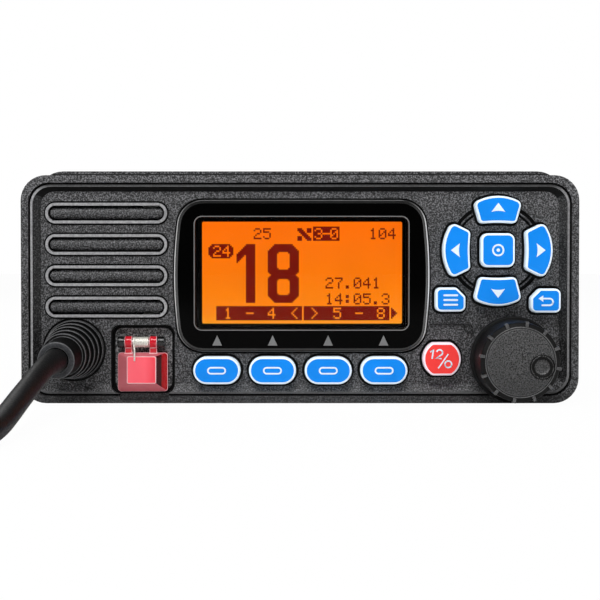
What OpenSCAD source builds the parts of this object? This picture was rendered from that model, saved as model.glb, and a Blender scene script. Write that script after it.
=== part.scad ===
// Fixed-mount marine VHF radio with a hard-wired fist microphone.
// The front faces -Y and +Z is up. The origin is the middle of the flat underside.
// Depths on the front are measured inwards from the plane of the outer rail.

/* [Housing] */
// Width of the front panel
panel_w = 160; // [150:1:192]
// Height of the front panel
panel_h = 65.4; // [62:0.2:79]
// Depth of the front panel moulding
panel_len = 26; // [24:0.5:32]
// Radius of the front panel's corners
panel_r = 7.2; // [5:0.1:9]
// Wall of the plastic mouldings
panel_wall = 2.5; // [2:0.1:3]
// Depth of the whole radio, rail to fin tips
body_depth = 125; // [115:1:150]
// Height of the brow over the rail
brow_h = 1.4; // [1:0.1:4]
// Setback of the brow behind the rail
brow_back = 5; // [3:0.5:8]
// Wall of the cast chassis
cast_wall = 3; // [2:0.1:4]
// Depth of the cooling fins
fin_len = 14; // [10:1:20]
// Thickness of one cooling fin
fin_t = 2; // [1.5:0.1:3]
// Spacing of the cooling fins
fin_pitch = 7; // [6:0.5:12]

/* [Face] */
// Width of the outer rail
rail_w = 2.1; // [1.5:0.1:3]
// Depth of the sunken face
face_t = 1.8; // [1.2:0.1:2.4]
// Width of the slope down to the face
slope_w = 2.2; // [1:0.1:3]
// Number of speaker slots
slot_count = 4; // [3:1:4]
// Length of a speaker slot's ring
slot_len = 35; // [30:0.5:35.5]
// Spacing of the speaker slots
slot_pitch = 9; // [8:0.1:9.5]
// Radius of the loudspeaker
speaker_r = 17.5; // [15:0.5:18]

/* [Display] */
// Width of the window
window_w = 73.4; // [68:0.2:76]
// Height of the window
window_h = 43.8; // [42:0.2:46]
// Width of the lit display area
lcd_w = 57.2; // [50:0.2:58]
// Height of the lit display area
lcd_h = 29.1; // [26:0.1:30]

/* [Keys] */
// Length of a soft key
soft_w = 13.5; // [11:0.1:14]
// Height of a soft key
soft_h = 7.9; // [6.6:0.1:9]
// Spacing of the soft keys
soft_pitch = 15.95; // [15.4:0.05:16.5]
// Side of the middle key of the pad
ok_w = 9.7; // [8:0.1:11]
// Travel of the front keys
key_travel = 0.8; // [0.4:0.1:1]
// Gap round each key
key_gap = 0.4; // [0.2:0.05:0.5]

/* [Knob] */
// Radius of the knob's skirt
knob_r = 12.3; // [11:0.1:13]
// Length of the knob
knob_len = 15.8; // [12:0.1:20]
// Radius of the encoder's shaft
shaft_r = 3; // [2.5:0.1:3.6]
// Push travel of the knob
knob_travel = 0.5; // [0.3:0.1:0.8]
// Number of grip nubs
nub_count = 12; // [8:1:16]

/* [Distress cover] */
// Width of the cover
cover_w = 14.4; // [12:0.1:15]
// Height of the cover below its hinge arms
cover_h = 11.2; // [10:0.1:11.4]
// Radius of the hinge pin
pin_r = 0.8; // [0.6:0.05:1]

/* [Connections] */
// Radius of the antenna socket's thread
socket_r = 7.94; // [7.5:0.01:8.2]
// Length of the antenna socket's thread
socket_len = 11; // [9:0.5:13]
// Radius of the side threads for bracket knobs
side_thread_r = 2.5; // [2:0.5:3]
// Diameter of the microphone cord
cord_d = 5.6; // [5:0.1:6]
// Outer diameter of the curled stretch
curl_d = 18; // [16:0.5:20]

/* [Microphone] */
// Width of the fist microphone at its top
mic_w = 58; // [52:0.2:69.6]
// Length of the fist microphone
mic_len = 88; // [80:1:100]
// Thickness of the fist microphone
mic_t = 30; // [26:1:34]

/* [Hidden] */

$fn = 48;
arc_steps = 8;              // facets in one rounded corner
over = 1;                   // how far a cut runs past a face
fit = 0.05;                 // radial running clearance
seat = 0.3;                 // gap between neighbours that don't touch

front_y = -body_depth / 2;
plate_t = face_t + panel_wall;      // back of the face's plate

charcoal = [0.20, 0.20, 0.21];
black = [0.07, 0.07, 0.07];
key_blue = [0.06, 0.55, 0.98];
key_red = [0.95, 0.25, 0.25];
board_green = [0.05, 0.30, 0.15];
bright_metal = [0.75, 0.75, 0.78];
cast_grey = [0.16, 0.16, 0.17];

// ---- drawing aids ----

// X of a place measured from the panel's left or right edge
function from_left(x) = x - panel_w / 2;
function from_right(x) = panel_w / 2 - x;

// The turn from one angle to another, between -180 and 180
function turn(a, b) = (b - a + 540) % 360 - 180;

// Points of an arc that rounds the corner b between a and c
function corner(a, b, c, r) =
    let (u = (a - b) / norm(a - b), v = (c - b) / norm(c - b))
    let (half = acos(u * v) / 2)
    let (mid = b + (u + v) / norm(u + v) * r / sin(half))
    let (p = b + u * r / tan(half) - mid, q = b + v * r / tan(half) - mid)
    let (start = atan2(p[1], p[0]), sweep = turn(start, atan2(q[1], q[0])))
    [for (i = [0 : arc_steps]) mid + r * [cos(start + sweep * i / arc_steps), sin(start + sweep * i / arc_steps)]];

// An outline with each of its corners rounded by its own radius
function rounded(points, radii) =
    let (n = len(points))
    [for (i = [0 : n - 1]) each corner(points[(i + n - 1) % n], points[i], points[(i + 1) % n], radii[i])];

function box_points(w, h) = [[-w, -h], [w, -h], [w, h], [-w, h]] / 2;

module rounded_box(w, h, r) {
    polygon(rounded(box_points(w, h), [r, r, r, r]));
}

// Extrudes an outline drawn in X and Z between two depths behind the rail
module between(t0, t1) {
    translate([0, front_y + t1, 0])
        rotate([90, 0, 0])
            linear_extrude(height = t1 - t0)
                children();
}

// A cylinder or cone along Y at a place on the face
module post(x, z, t0, t1, r, r_end) {
    translate([x, front_y + t0, z])
        rotate([-90, 0, 0])
            cylinder(h = t1 - t0, r1 = r, r2 = r_end);
}

// A block between two corners, with its depths behind the rail
module block(x0, x1, t0, t1, z0, z1) {
    translate([x0, front_y + t0, z0])
        cube([x1 - x0, t1 - t0, z1 - z0]);
}

// A screw whose head sits at the origin's -Z side and whose shank runs to +Z
module screw(head_r, head_t, shank_r, shank_len) {
    difference() {
        union() {
            translate([0, 0, -head_t])
                cylinder(h = head_t, r = head_r);
            cylinder(h = shank_len, r = shank_r);
        }
        translate([0, 0, -head_t - over])
            cylinder(h = over + head_t / 2, r = head_r / 2, $fn = 6);
    }
}

// ---- front panel ----

panel_mid = panel_h / 2;
brow_w = panel_w - 8;
brow_r = 7.4;
brow_seam_w = 0.35;         // narrow groove between the rail's top and the brow
brow_seam_t = 0.5;
groove_w = 0.6;
groove_t = 1.1;
lip_w = 0.6;
lip_t = 0.25;
face_inset = rail_w + groove_w + lip_w + slope_w;
face_rise = 0.9;            // the slope is narrower along the top

// The panel's outline, drawn in by an inset
module panel_outline(inset) {
    translate([0, panel_mid])
        rounded_box(panel_w - 2 * inset, panel_h - 2 * inset, panel_r - inset * 0.6);
}

// The sunken face, which the slope leads down to
module face_outline() {
    translate([0, panel_mid + face_rise / 2])
        rounded_box(panel_w - 2 * face_inset, panel_h - 2 * face_inset + face_rise, panel_r - face_inset * 0.6);
}

module brow_outline() {
    translate([0, (panel_mid + panel_h + brow_h) / 2])
        rounded_box(brow_w, panel_mid + brow_h, brow_r);
}

slot_mid_x = from_left(24.3);
slot_top_z = 54.6;
slot_ring_h = 5.9;
slot_ring_w = 0.8;
slot_ring_up = 0.6;
slot_ring_r = slot_ring_h / 2 - 0.05;
slot_moat_w = 0.5;          // narrow groove round the outside of a ring
slot_moat_t = face_t + 0.5;
slot_gap = 0.55;            // from a ring's inside to its bar
slot_floor_t = face_t + 1.2;
slit_off = slot_ring_h / 2 - slot_ring_w - slot_gap / 2;
slit_len = slot_len - 4;
bar_h = 2 * slit_off - slot_gap;
bar_front = face_t - 0.1;
bar_rise = 0.7;
bar_crown_r = (bar_h * bar_h / 4 + bar_rise * bar_rise) / (2 * bar_rise);
speaker_z = slot_top_z - slot_pitch * (slot_count - 1) / 2;

module slots_2d(w, h, r) {
    for (i = [0 : slot_count - 1])
        translate([slot_mid_x, slot_top_z - i * slot_pitch])
            rounded_box(w, h, r);
}

module slits_2d() {
    for (i = [0 : slot_count - 1], side = [-1, 1])
        translate([slot_mid_x - slit_len / 2, slot_top_z - i * slot_pitch + side * slit_off - slot_gap / 2])
            square([slit_len, slot_gap]);
}

// The crowned bars that stand inside the slots' rings
module slot_bars() {
    inset = slot_ring_w + slot_gap;
    intersection() {
        between(bar_front, plate_t)
            slots_2d(slot_len - 2 * inset, bar_h, slot_ring_r - inset);
        for (i = [0 : slot_count - 1])
            translate([slot_mid_x - slot_len / 2, front_y + bar_front + bar_crown_r, slot_top_z - i * slot_pitch])
                rotate([0, 90, 0])
                    cylinder(h = slot_len, r = bar_crown_r);
    }
}

window_x = 0.5;
window_z = 36.55;
window_front = 0.9;
window_back = 2.6;
gasket_t = 0.3;
window_gap = 0.4;           // black line round the window
window_shoulder = 7.5;      // from the window's widest point in to its corners

// The window's outline, with sides that bulge and rounded corners
module window_outline(grow) {
    w = window_w / 2 + grow;
    h = window_h / 2 + grow;
    s = window_shoulder;
    translate([window_x, window_z])
        polygon(rounded(
            [[-w + 1.6, -h], [w - 1.6, -h], [w + 0.7, 0], [w - 1.6, h], [-w + 1.6, h], [-w - 0.7, 0]],
            [s, s, 120, s, s, 120]));
}

module lcd_outline(grow) {
    translate([window_x, window_z + 0.9])
        rounded_box(lcd_w + 2 * grow, lcd_h + 2 * grow, 1);
}

recess_x = from_left(34.75);
recess_w = 17.9;
recess_top = 22.2;
recess_bottom = 3;
recess_t = 4.6;
recess_wall = 1.4;
recess_r = 2.4;
recess_moat_w = 0.25;        // narrow ledge round the mouth of the recess
recess_moat_t = face_t + 0.8;
recess_groove_w = 0.75;
recess_floor_t = recess_t - 0.3;
notch_w = 14;
notch_x = recess_x + 0.5;
notch_bottom = 0.7;
notch_t = 2;
hinge_z = 17.5;
hinge_t = 1.4;
hinge_x = recess_x - 0.5;
arm_w = 2.1;
arm_mid = 3.55;             // from the hinge's middle to an arm's middle
boss_w = 1.9;
boss_out = arm_mid + arm_w / 2 + 0.15 + boss_w;
boss_r = 1.6;

module recess_outline(grow) {
    translate([recess_x, (recess_top + recess_bottom) / 2])
        rounded_box(recess_w + 2 * grow, recess_top - recess_bottom + 2 * grow, recess_r + grow / 2);
}

// The boss at one end of the hinge pin, standing on the recess's floor
module pin_boss(side) {
    x = hinge_x + side * (boss_out - boss_w / 2);
    translate([x - boss_w / 2, front_y + hinge_t, hinge_z])
        rotate([0, 90, 0])
            cylinder(h = boss_w, r = boss_r);
    block(x - boss_w / 2, x + boss_w / 2, hinge_t, recess_t + recess_wall, hinge_z - boss_r, hinge_z + boss_r);
}

boot_x = from_left(14.9);
boot_z = 15.3;
boot_neck_r = 5.5;
flange_groove_w = 0.6;
flange_groove_t = 0.6;
knob_x = from_right(19.1);
knob_z = 12.8;
bush_r = 4.5;
chassis_inset = 3;
lug_r = 3.4;
lug_len = 6;
panel_head_r = 2.6;
panel_boss_r = 3.4;
panel_screw_r = 1.25;
panel_boss_x = panel_w / 2 - chassis_inset - lug_r;
panel_boss_z = [6.2, panel_h - 6.2];
pad_x = from_right(23.5);
pad_z = 43.9;
pad_groove_r = [[11.6, 12.3], [12.75, 13.8]];
pad_groove_t = 0.9;
key_moat_w = 0.35;
key_moat_t = face_t + 0.8;
leader_z = 22.3;
leader_x = from_right(42.7);
leader_len = 10;
leader_h = 0.45;
leader_up = 0.5;
distress_hole_w = 6.4;
distress_hole_h = 5.4;
distress_key_z = 8.6;

module distress_key_2d(grow) {
    translate([recess_x, distress_key_z])
        rounded_box(distress_hole_w + 2 * grow, distress_hole_h + 2 * grow, 1.2);
}

module panel_shell() {
    difference() {
        union() {
            difference() {
                union() {
                    between(0, panel_len)
                        panel_outline(0);
                    difference() {
                        between(brow_back, panel_len)
                            brow_outline();
                        between(brow_back - over, brow_back + brow_seam_t)
                            panel_outline(-brow_seam_w);
                    }
                }
                // groove inside the rail, sloped step and sunken face
                between(-over, groove_t)
                    difference() {
                        panel_outline(rail_w);
                        panel_outline(rail_w + groove_w);
                    }
                between(-over, lip_t)
                    panel_outline(rail_w + groove_w);
                hull() {
                    between(lip_t - 0.01, lip_t)
                        panel_outline(rail_w + groove_w + lip_w);
                    between(face_t - 0.01, face_t)
                        face_outline();
                }
                between(plate_t, panel_len + over)
                    panel_outline(panel_wall);
                between(0, slot_moat_t)
                    slots_2d(slot_len + 2 * slot_moat_w, slot_ring_h + 2 * slot_moat_w, slot_ring_r + slot_moat_w);
            }
            between(face_t - slot_ring_up, slot_moat_t + 0.2)
                slots_2d(slot_len, slot_ring_h, slot_ring_r);
            between(plate_t - 0.2, recess_t + recess_wall)
                recess_outline(panel_wall / 2);
            for (x = [-1, 1], z = panel_boss_z)
                post(x * panel_boss_x, z, plate_t - 0.2, panel_len, panel_boss_r, panel_boss_r);
            // leader line that points at the knob
            between(face_t - leader_up, face_t + 0.2)
                translate([leader_x, leader_z])
                    square([leader_len, leader_h]);
            difference() {
                post(leader_x + leader_len + 1.1, leader_z - 0.8, face_t - leader_up, face_t + 0.2, 1.4, 1.4);
                post(leader_x + leader_len + 1.1, leader_z - 0.8, 0, face_t + over, 0.9, 0.9);
            }
        }
        between(0, slot_floor_t)
            slots_2d(slot_len - 2 * slot_ring_w, slot_ring_h - 2 * slot_ring_w, slot_ring_r - slot_ring_w);
        between(0, plate_t + over)
            slits_2d();
        between(-over, window_back + gasket_t)
            window_outline(window_gap);
        between(0, plate_t + over)
            lcd_outline(2);
        between(-over, recess_floor_t)
            recess_outline(0);
        between(0, recess_moat_t)
            recess_outline(recess_moat_w);
        between(0, recess_t)
            difference() {
                recess_outline(0);
                recess_outline(-recess_groove_w);
            }
        between(-over, notch_t)
            translate([notch_x, (notch_bottom + recess_bottom) / 2 + 1])
                rounded_box(notch_w, recess_bottom - notch_bottom + 2, 0.8);
        between(0, recess_t + recess_wall + over)
            distress_key_2d(key_gap);
        // holes for the keys, each in a shallow moat
        for (k = KEYS) {
            between(-over, plate_t + over)
                offset(delta = key_gap)
                    key_outline(k);
            between(-over, key_moat_t)
                offset(delta = key_gap + key_moat_w)
                    key_outline(k);
        }
        // two ring grooves behind the keys of the pad
        for (r = pad_groove_r)
            difference() {
                post(pad_x, pad_z, 0, face_t + pad_groove_t, r[1], r[1]);
                post(pad_x, pad_z, -over, face_t + over, r[0], r[0]);
            }
        // groove round the boot's flange
        difference() {
            post(boot_x, boot_z, 0, face_t + flange_groove_t, boot_flange_r + flange_groove_w, boot_flange_r + flange_groove_w);
            post(boot_x, boot_z, -over, face_t + flange_groove_t + over, boot_flange_r, boot_flange_r);
        }
        post(boot_x, boot_z, 0, plate_t + over, boot_neck_r + seat, boot_neck_r + seat);
        post(knob_x, knob_z, 0, plate_t + over, bush_r + seat, bush_r + seat);
        for (x = [-1, 1], z = panel_boss_z)
            post(x * panel_boss_x, z, panel_len - 12, panel_len + over, panel_screw_r + fit, panel_screw_r + fit);
    }
}

module front_panel() {
    color(charcoal)
        difference() {
            union() {
                panel_shell();
                slot_bars();
                for (side = [-1, 1])
                    pin_boss(side);
            }
            translate([hinge_x - boss_out - over, front_y + hinge_t, hinge_z])
                rotate([0, 90, 0])
                    cylinder(h = 2 * (boss_out + over), r = pin_r);
        }
}

// ---- loudspeaker ----

foam_t = 0.9;
mesh_t = 0.3;
speaker_front = plate_t + foam_t;
speaker_rim_t = 1;
basket_t = 9;
magnet_r = 11;
magnet_t = 7;

module speaker_mesh() {
    color(black)
        post(slot_mid_x, speaker_z, plate_t, plate_t + mesh_t, speaker_r, speaker_r);
}

module speaker_foam() {
    color(black)
        difference() {
            post(slot_mid_x, speaker_z, plate_t + mesh_t, speaker_front, speaker_r, speaker_r);
            post(slot_mid_x, speaker_z, plate_t, speaker_front + over, speaker_r - 2, speaker_r - 2);
        }
}

module speaker_frame() {
    back = speaker_front + speaker_rim_t + basket_t;
    color(bright_metal)
        difference() {
            union() {
                post(slot_mid_x, speaker_z, speaker_front, speaker_front + speaker_rim_t, speaker_r, speaker_r);
                post(slot_mid_x, speaker_z, speaker_front + speaker_rim_t, back, speaker_r - 2, magnet_r);
            }
            post(slot_mid_x, speaker_z, speaker_front - 0.01, back - 1, speaker_r - 3, magnet_r - 2.2);
        }
}

module speaker_cone() {
    color(black)
        difference() {
            post(slot_mid_x, speaker_z, speaker_front + 0.4, speaker_front + 6.4, speaker_r - 3.6, 4);
            post(slot_mid_x, speaker_z, speaker_front + 0.3, speaker_front + 5.9, speaker_r - 4.2, 3.4);
        }
}

module speaker_magnet() {
    front = speaker_front + speaker_rim_t + basket_t;
    color(bright_metal)
        post(slot_mid_x, speaker_z, front, front + magnet_t, magnet_r, magnet_r);
}

// ---- display ----

frame_front = plate_t + 0.2;
board_front = 7.4;
board_t = 1.6;
lcd_t = 1.8;

module display_window() {
    color(black)
        between(window_front, window_back)
            window_outline(0);
}

module window_gasket() {
    color(black)
        between(window_back, window_back + gasket_t)
            difference() {
                window_outline(0);
                lcd_outline(2);
            }
}

module lcd_glass() {
    color([1.0, 0.50, 0.05])
        between(frame_front + 0.2, frame_front + 0.2 + lcd_t)
            lcd_outline(1.5);
}

module backlight_frame() {
    color(black)
        between(frame_front, board_front)
            difference() {
                lcd_outline(4);
                lcd_outline(1.6);
            }
    color("white")
        between(frame_front + 0.2 + lcd_t, board_front)
            lcd_outline(1.6);
}

// ---- keys ----

key_rim = 0.75;
key_front = -2.2;
rim_front = -1.4;
flange_out = 0.9;
flange_front = plate_t + 0.2;
flange_back = flange_front + 0.7;
soft_z = 9.5;
soft_mid_x = 0.1;
pad_key_corner = [1.3, 40, 1.3, 1.7, 13, 1.7];
ok_r = 2;
small_key_w = 8.6;
small_key_h = 6.9;
small_key_cut = 2.6;
menu_x = from_right(37);
menu_z = 29.8;
back_x = from_right(9.8);
back_z = 29.5;
channel_x = from_right(39.4);
channel_z = 12.8;
channel_r = 5.45;
channel_flat = 60;

KEYS = ["soft_key_1", "soft_key_2", "soft_key_3", "soft_key_4",
    "key_up", "key_down", "key_left", "key_right", "key_ok", "key_menu", "key_back", "key_channel"];

module soft_key_outline(i) {
    translate([soft_mid_x + (i - 1.5) * soft_pitch, soft_z])
        rounded_box(soft_w, soft_h, soft_h / 2 - 0.05);
}

// A key of the pad, pointing up: half widths inside and outside, and heights from the middle
module pad_key_outline(half_in, half_out, low, side, peak, angle) {
    translate([pad_x, pad_z])
        rotate(angle)
            polygon(rounded(
                [[-half_in, low], [0, low + 0.4], [half_in, low], [half_out, side], [0, peak], [-half_out, side]],
                pad_key_corner));
}

// A small key whose upper corner towards the pad is cut off
module small_key_outline(x, z, side) {
    w = small_key_w / 2;
    h = small_key_h / 2;
    c = small_key_cut;
    translate([x, z])
        scale([side, 1])
            polygon(rounded(
                [[-w, -h], [w, -h], [w, h - c], [w - c, h], [-w, h]],
                [1.6, 1.6, 0.9, 0.9, 1.6]));
}

module channel_key_outline() {
    translate([channel_x, channel_z])
        polygon([for (side = [0, 180], a = [-channel_flat : 7.5 : channel_flat])
            channel_r * [cos(side + a), sin(side + a)]]);
}

module key_outline(k) {
    if (k == "soft_key_1") soft_key_outline(0);
    if (k == "soft_key_2") soft_key_outline(1);
    if (k == "soft_key_3") soft_key_outline(2);
    if (k == "soft_key_4") soft_key_outline(3);
    if (k == "key_up") pad_key_outline(5.2, 6.9, 7.6, 13.7, 16.9, 0);
    if (k == "key_down") pad_key_outline(5.2, 6.9, 7.6, 14.1, 17.3, 180);
    if (k == "key_left") pad_key_outline(5.4, 8, 7.8, 13.1, 17.6, 90);
    if (k == "key_right") pad_key_outline(5.4, 8, 7.8, 13.1, 17.6, 270);
    if (k == "key_ok") translate([pad_x, pad_z]) rounded_box(ok_w, ok_w, ok_r);
    if (k == "key_menu") small_key_outline(menu_x, menu_z, 1);
    if (k == "key_back") small_key_outline(back_x, back_z, -1);
    if (k == "key_channel") channel_key_outline();
}

// A key: coloured cap, pale border, and the flange that keeps it behind the face
module front_key(k, cap_color) {
    color(cap_color)
        between(key_front, rim_front)
            offset(delta = -key_rim)
                key_outline(k);
    color("white")
        between(rim_front, flange_front)
            key_outline(k);
    color("white")
        between(flange_front, flange_back)
            offset(delta = flange_out)
                key_outline(k);
}

mat_front = flange_back + key_travel + seat;

module keypad_mat() {
    color("white")
        between(mat_front, board_front)
            difference() {
                translate([board_mid_x, board_mid_z])
                    rounded_box(board_w - 2, board_h - 2, 2);
                lcd_outline(4.3);
                distress_key_2d(flange_out + seat);
                translate([slot_mid_x, speaker_z])
                    circle(r = speaker_r + 1);
                translate([knob_x, knob_z])
                    circle(r = bush_r + seat);
                for (x = [-1, 1], z = panel_boss_z)
                    translate([x * panel_boss_x, z])
                        circle(r = panel_boss_r + 1);
            }
}

// ---- front circuit board ----

board_x0 = from_left(26);
board_x1 = panel_w / 2 - panel_wall - 1;
board_z0 = panel_wall + 1;
board_z1 = panel_h - panel_wall - 1;
board_w = board_x1 - board_x0;
board_h = board_z1 - board_z0;
board_mid_x = (board_x0 + board_x1) / 2;
board_mid_z = (board_z0 + board_z1) / 2;

module front_board() {
    color(board_green)
        between(board_front, board_front + board_t)
            difference() {
                translate([board_mid_x, board_mid_z])
                    rounded_box(board_w, board_h, 2);
                translate([slot_mid_x, speaker_z])
                    circle(r = speaker_r + 1);
                translate([knob_x, knob_z])
                    circle(r = bush_r + seat);
                for (x = [-1, 1], z = panel_boss_z)
                    translate([x * panel_boss_x, z])
                        circle(r = panel_boss_r + 0.4);
            }
}

// ---- distress key and its cover ----

cover_rim_back = 4.1;
cover_front = -0.7;
cover_wall = 1.2;
cover_top = hinge_z - 3;
cover_bottom = cover_top - cover_h;
cover_mid_z = (cover_top + cover_bottom) / 2;
arm_r = 1.7;
spring_r = 1.55;
spring_len = 4.4;
spring_wire = 0.5;
distress_flange_back = recess_t + recess_wall + 0.7;
distress_cap_front = 2.2;

module cover_outline(inset) {
    translate([recess_x, cover_mid_z])
        rounded_box(cover_w - 2 * inset, cover_h - 2 * inset, 1);
}

// The flat face in front, whose bevels are wider at the sides and the bottom
module cover_face(inset) {
    translate([recess_x - 0.2, cover_mid_z + 0.7])
        rounded_box(cover_w - 6.2 - 2 * inset, cover_h - 3.5 - 2 * inset, 0.5);
}

// The arm that carries the cover on its pin
module cover_arm(side) {
    x = hinge_x + side * arm_mid;
    translate([x - arm_w / 2, front_y + hinge_t, hinge_z])
        rotate([0, 90, 0])
            cylinder(h = arm_w, r = arm_r);
    block(x - arm_w / 2, x + arm_w / 2, hinge_t - 0.6, hinge_t + 1, cover_top - 0.5, hinge_z - 0.5);
}

module distress_cover() {
    color([0.85, 0.12, 0.2])
        difference() {
            union() {
                hull() {
                    between(1.2, cover_rim_back)
                        cover_outline(0);
                    between(cover_front, 1.2)
                        cover_face(0);
                }
                for (side = [-1, 1])
                    cover_arm(side);
            }
            between(cover_front + cover_wall, cover_rim_back + over)
                cover_face(0.3);
            between(1.8, cover_rim_back + over)
                cover_outline(cover_wall);
            translate([hinge_x - cover_w, front_y + hinge_t, hinge_z])
                rotate([0, 90, 0])
                    cylinder(h = 2 * cover_w, r = pin_r + fit);
        }
}

module cover_pin() {
    color(bright_metal)
        translate([hinge_x - boss_out, front_y + hinge_t, hinge_z])
            rotate([0, 90, 0])
                cylinder(h = 2 * boss_out, r = pin_r);
}

module cover_spring() {
    leg_x = hinge_x - spring_len / 2 + spring_wire;
    color(bright_metal)
        difference() {
            union() {
                translate([hinge_x - spring_len / 2, front_y + hinge_t, hinge_z])
                    rotate([0, 90, 0])
                        cylinder(h = spring_len, r = spring_r);
                block(leg_x - spring_wire / 2, leg_x + spring_wire / 2,
                    cover_front - 0.6, cover_front - 0.1, cover_mid_z + 3.2, hinge_z - 1.5);
                block(leg_x - spring_wire / 2, leg_x + spring_wire / 2,
                    cover_front - 0.6, hinge_t - 0.5, hinge_z - 2, hinge_z - 1.1);
            }
            translate([hinge_x - spring_len, front_y + hinge_t, hinge_z])
                rotate([0, 90, 0])
                    cylinder(h = 2 * spring_len, r = pin_r + fit);
        }
}

module distress_key() {
    color(key_red)
        between(distress_cap_front, recess_t + recess_wall + 0.2)
            distress_key_2d(0);
    color(key_red)
        between(recess_t + recess_wall + 0.2, distress_flange_back)
            distress_key_2d(flange_out);
}

// ---- knob and encoder ----

knob_back = -1.2;
knob_front = knob_back - knob_len;
skirt_t = 2.2;
knob_body_r = knob_r - 0.9;
knob_face_r = knob_r - 1.6;
nub_r = 0.8;
nub_start = 0.69;           // place of the first nub, in spacings from +X
dimple_off = [5.9, -1.3];
dimple_r = 2.3;
dimple_t = 0.8;
shaft_front = knob_front + 4;
encoder_front = board_front + board_t;
encoder_len = 6.5;
encoder_w = 13;
bush_front = 1;
shaft_back = encoder_front + 1;
plunger_r = 2;

module volume_knob() {
    color(charcoal)
        difference() {
            union() {
                post(knob_x, knob_z, knob_back - skirt_t, knob_back, knob_r, knob_r);
                post(knob_x, knob_z, knob_front, knob_back - skirt_t, knob_face_r, knob_body_r);
                for (i = [0 : nub_count - 1]) {
                    a = 360 * (i + nub_start) / nub_count;
                    post(knob_x + knob_face_r * cos(a), knob_z + knob_face_r * sin(a),
                        knob_front, knob_back - skirt_t, nub_r, nub_r);
                }
            }
            post(knob_x, knob_z, shaft_front, knob_back + over, shaft_r, shaft_r);
            difference() {
                post(knob_x, knob_z, knob_front + 6, knob_back + over, knob_body_r - 2.2, knob_body_r - 2);
                post(knob_x, knob_z, knob_front, knob_back + over, shaft_r + 2, shaft_r + 2);
            }
            post(knob_x, knob_z, knob_back - 2, knob_back + over, shaft_r + 2.2, shaft_r + 2.2);
            post(knob_x + dimple_off[0], knob_z + dimple_off[1],
                knob_front - over, knob_front + dimple_t, dimple_r, dimple_r);
        }
}

module knob_shaft() {
    color(bright_metal)
        post(knob_x, knob_z, shaft_front, shaft_back, shaft_r, shaft_r);
}

module encoder_body() {
    back = encoder_front + encoder_len;
    color(bright_metal)
        difference() {
            union() {
                block(knob_x - encoder_w / 2, knob_x + encoder_w / 2, encoder_front, back,
                    knob_z - 0.5 * encoder_w + 2.6, knob_z + encoder_w / 2);
                post(knob_x, knob_z, bush_front, encoder_front, bush_r, bush_r);
            }
            post(knob_x, knob_z, bush_front - over, shaft_back + knob_travel + 0.1, shaft_r + fit, shaft_r + fit);
            post(knob_x, knob_z, encoder_front, back + over, plunger_r + fit, plunger_r + fit);
        }
}

module push_plunger() {
    color("white")
        post(knob_x, knob_z, shaft_back, encoder_front + encoder_len + 0.3, plunger_r, plunger_r);
}

// ---- cord boot and cord ----

boot_flange_r = 8.6;
boot_flange_t = 0.9;
boot_len = 26.9;
boot_tip_r = 5.05;
boot_droop = 3;             // degrees
boot_yaw = 1.6;             // degrees, towards the left
boot_rib_r = 8;
boot_rib_step = 0.4;
boot_rib_pitch = 3.2;
boot_ribs = 5;
rib_up = 0.9;

// A ribbed strain relief along +Z that narrows from its first rib to its tip
module ribbed_boot(rib_r, rib_step, rib_pitch, ribs, length, tip_r) {
    for (i = [0 : ribs - 1])
        translate([0, 0, i * rib_pitch])
            cylinder(h = rib_pitch / 2, r = rib_r - i * rib_step);
    cylinder(h = length, r1 = rib_r - rib_up, r2 = tip_r);
}

module cord_boot() {
    color(black) {
        translate([boot_x, front_y + boot_flange_t, boot_z])
            rotate([90 + boot_droop, 0, -boot_yaw])
                ribbed_boot(boot_rib_r, boot_rib_step, boot_rib_pitch, boot_ribs, boot_len, boot_tip_r);
        post(boot_x, boot_z, boot_flange_t - 0.45, face_t, boot_flange_r - 0.2, boot_flange_r);
        post(boot_x, boot_z, boot_flange_t, plate_t + 0.2, boot_neck_r, boot_neck_r);
        post(boot_x, boot_z, plate_t + 0.2, plate_t + 2.4, boot_neck_r + 2, boot_neck_r + 2);
    }
}

cord_r = cord_d / 2;
curl_z = curl_d / 2;

// Middle of the curled stretch, measured from the boot
curl_off_x = -54.9;
mic_gap = 16;                   // from that middle to the microphone's side
mic_foot_back = 62.5;           // from the front to the microphone's lower end
mic_x = boot_x + curl_off_x - mic_gap - mic_w / 2;
mic_foot_y = front_y + mic_foot_back;

// Moves a route that is measured from the boot and the front
function from_boot(path) = [for (p = path) [boot_x + p[0], front_y + p[1], p[2]]];
function from_mic(path) = [for (p = path) [mic_x + p[0], mic_foot_y + p[1], p[2]]];

// Route of the cord from the boot to the curled stretch, chosen by hand
cord_route = from_boot([[-0.75, -26, 13.9], [-1, -38, 13.2], [-1.2, -49.5, 11.7], [-1.5, -60, 9.7],
    [-1.8, -71.5, 7.6], [-2.1, -83.5, 5.3], [-2.5, -93.5, 3.6], [-3.3, -103.5, 2.8], [-5.8, -114.5, 2.8],
    [-11.4, -124, 2.8], [-20.6, -130, 2.8], [-30.9, -130.5, 2.8], [-40.9, -125.5, 2.8],
    [-48.4, -116.5, 2.8], [-52.9, -105.5, 2.8], [curl_off_x, -95.5, 2.8], [curl_off_x, -87.5, 2.8]]);

// Ends of the curled stretch's centre line
curl_start = [boot_x + curl_off_x, front_y - 87.5, curl_z];
curl_end = [boot_x + curl_off_x, front_y + 82.5, curl_z];

// Route from the curled stretch to the microphone's boot, chosen by hand
tail_route = concat(
    from_boot([[curl_off_x, 82.5, 2.8], [curl_off_x, 91.5, 2.8], [-57.4, 102, 2.8], [-63.9, 110.5, 2.8],
        [-73.4, 115, 2.8]]),
    from_mic([[mic_gap, 51.5, 2.8], [7, 45.5, 2.8], [1.5, 36, 4.4], [0, 25, 7.7], [0, 14.5, 10.5]]));

// Direction of a route at one of its points
function along(path, i) =
    let (a = path[max(i - 1, 0)], b = path[min(i + 1, len(path) - 1)])
    (b - a) / norm(b - a);

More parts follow.
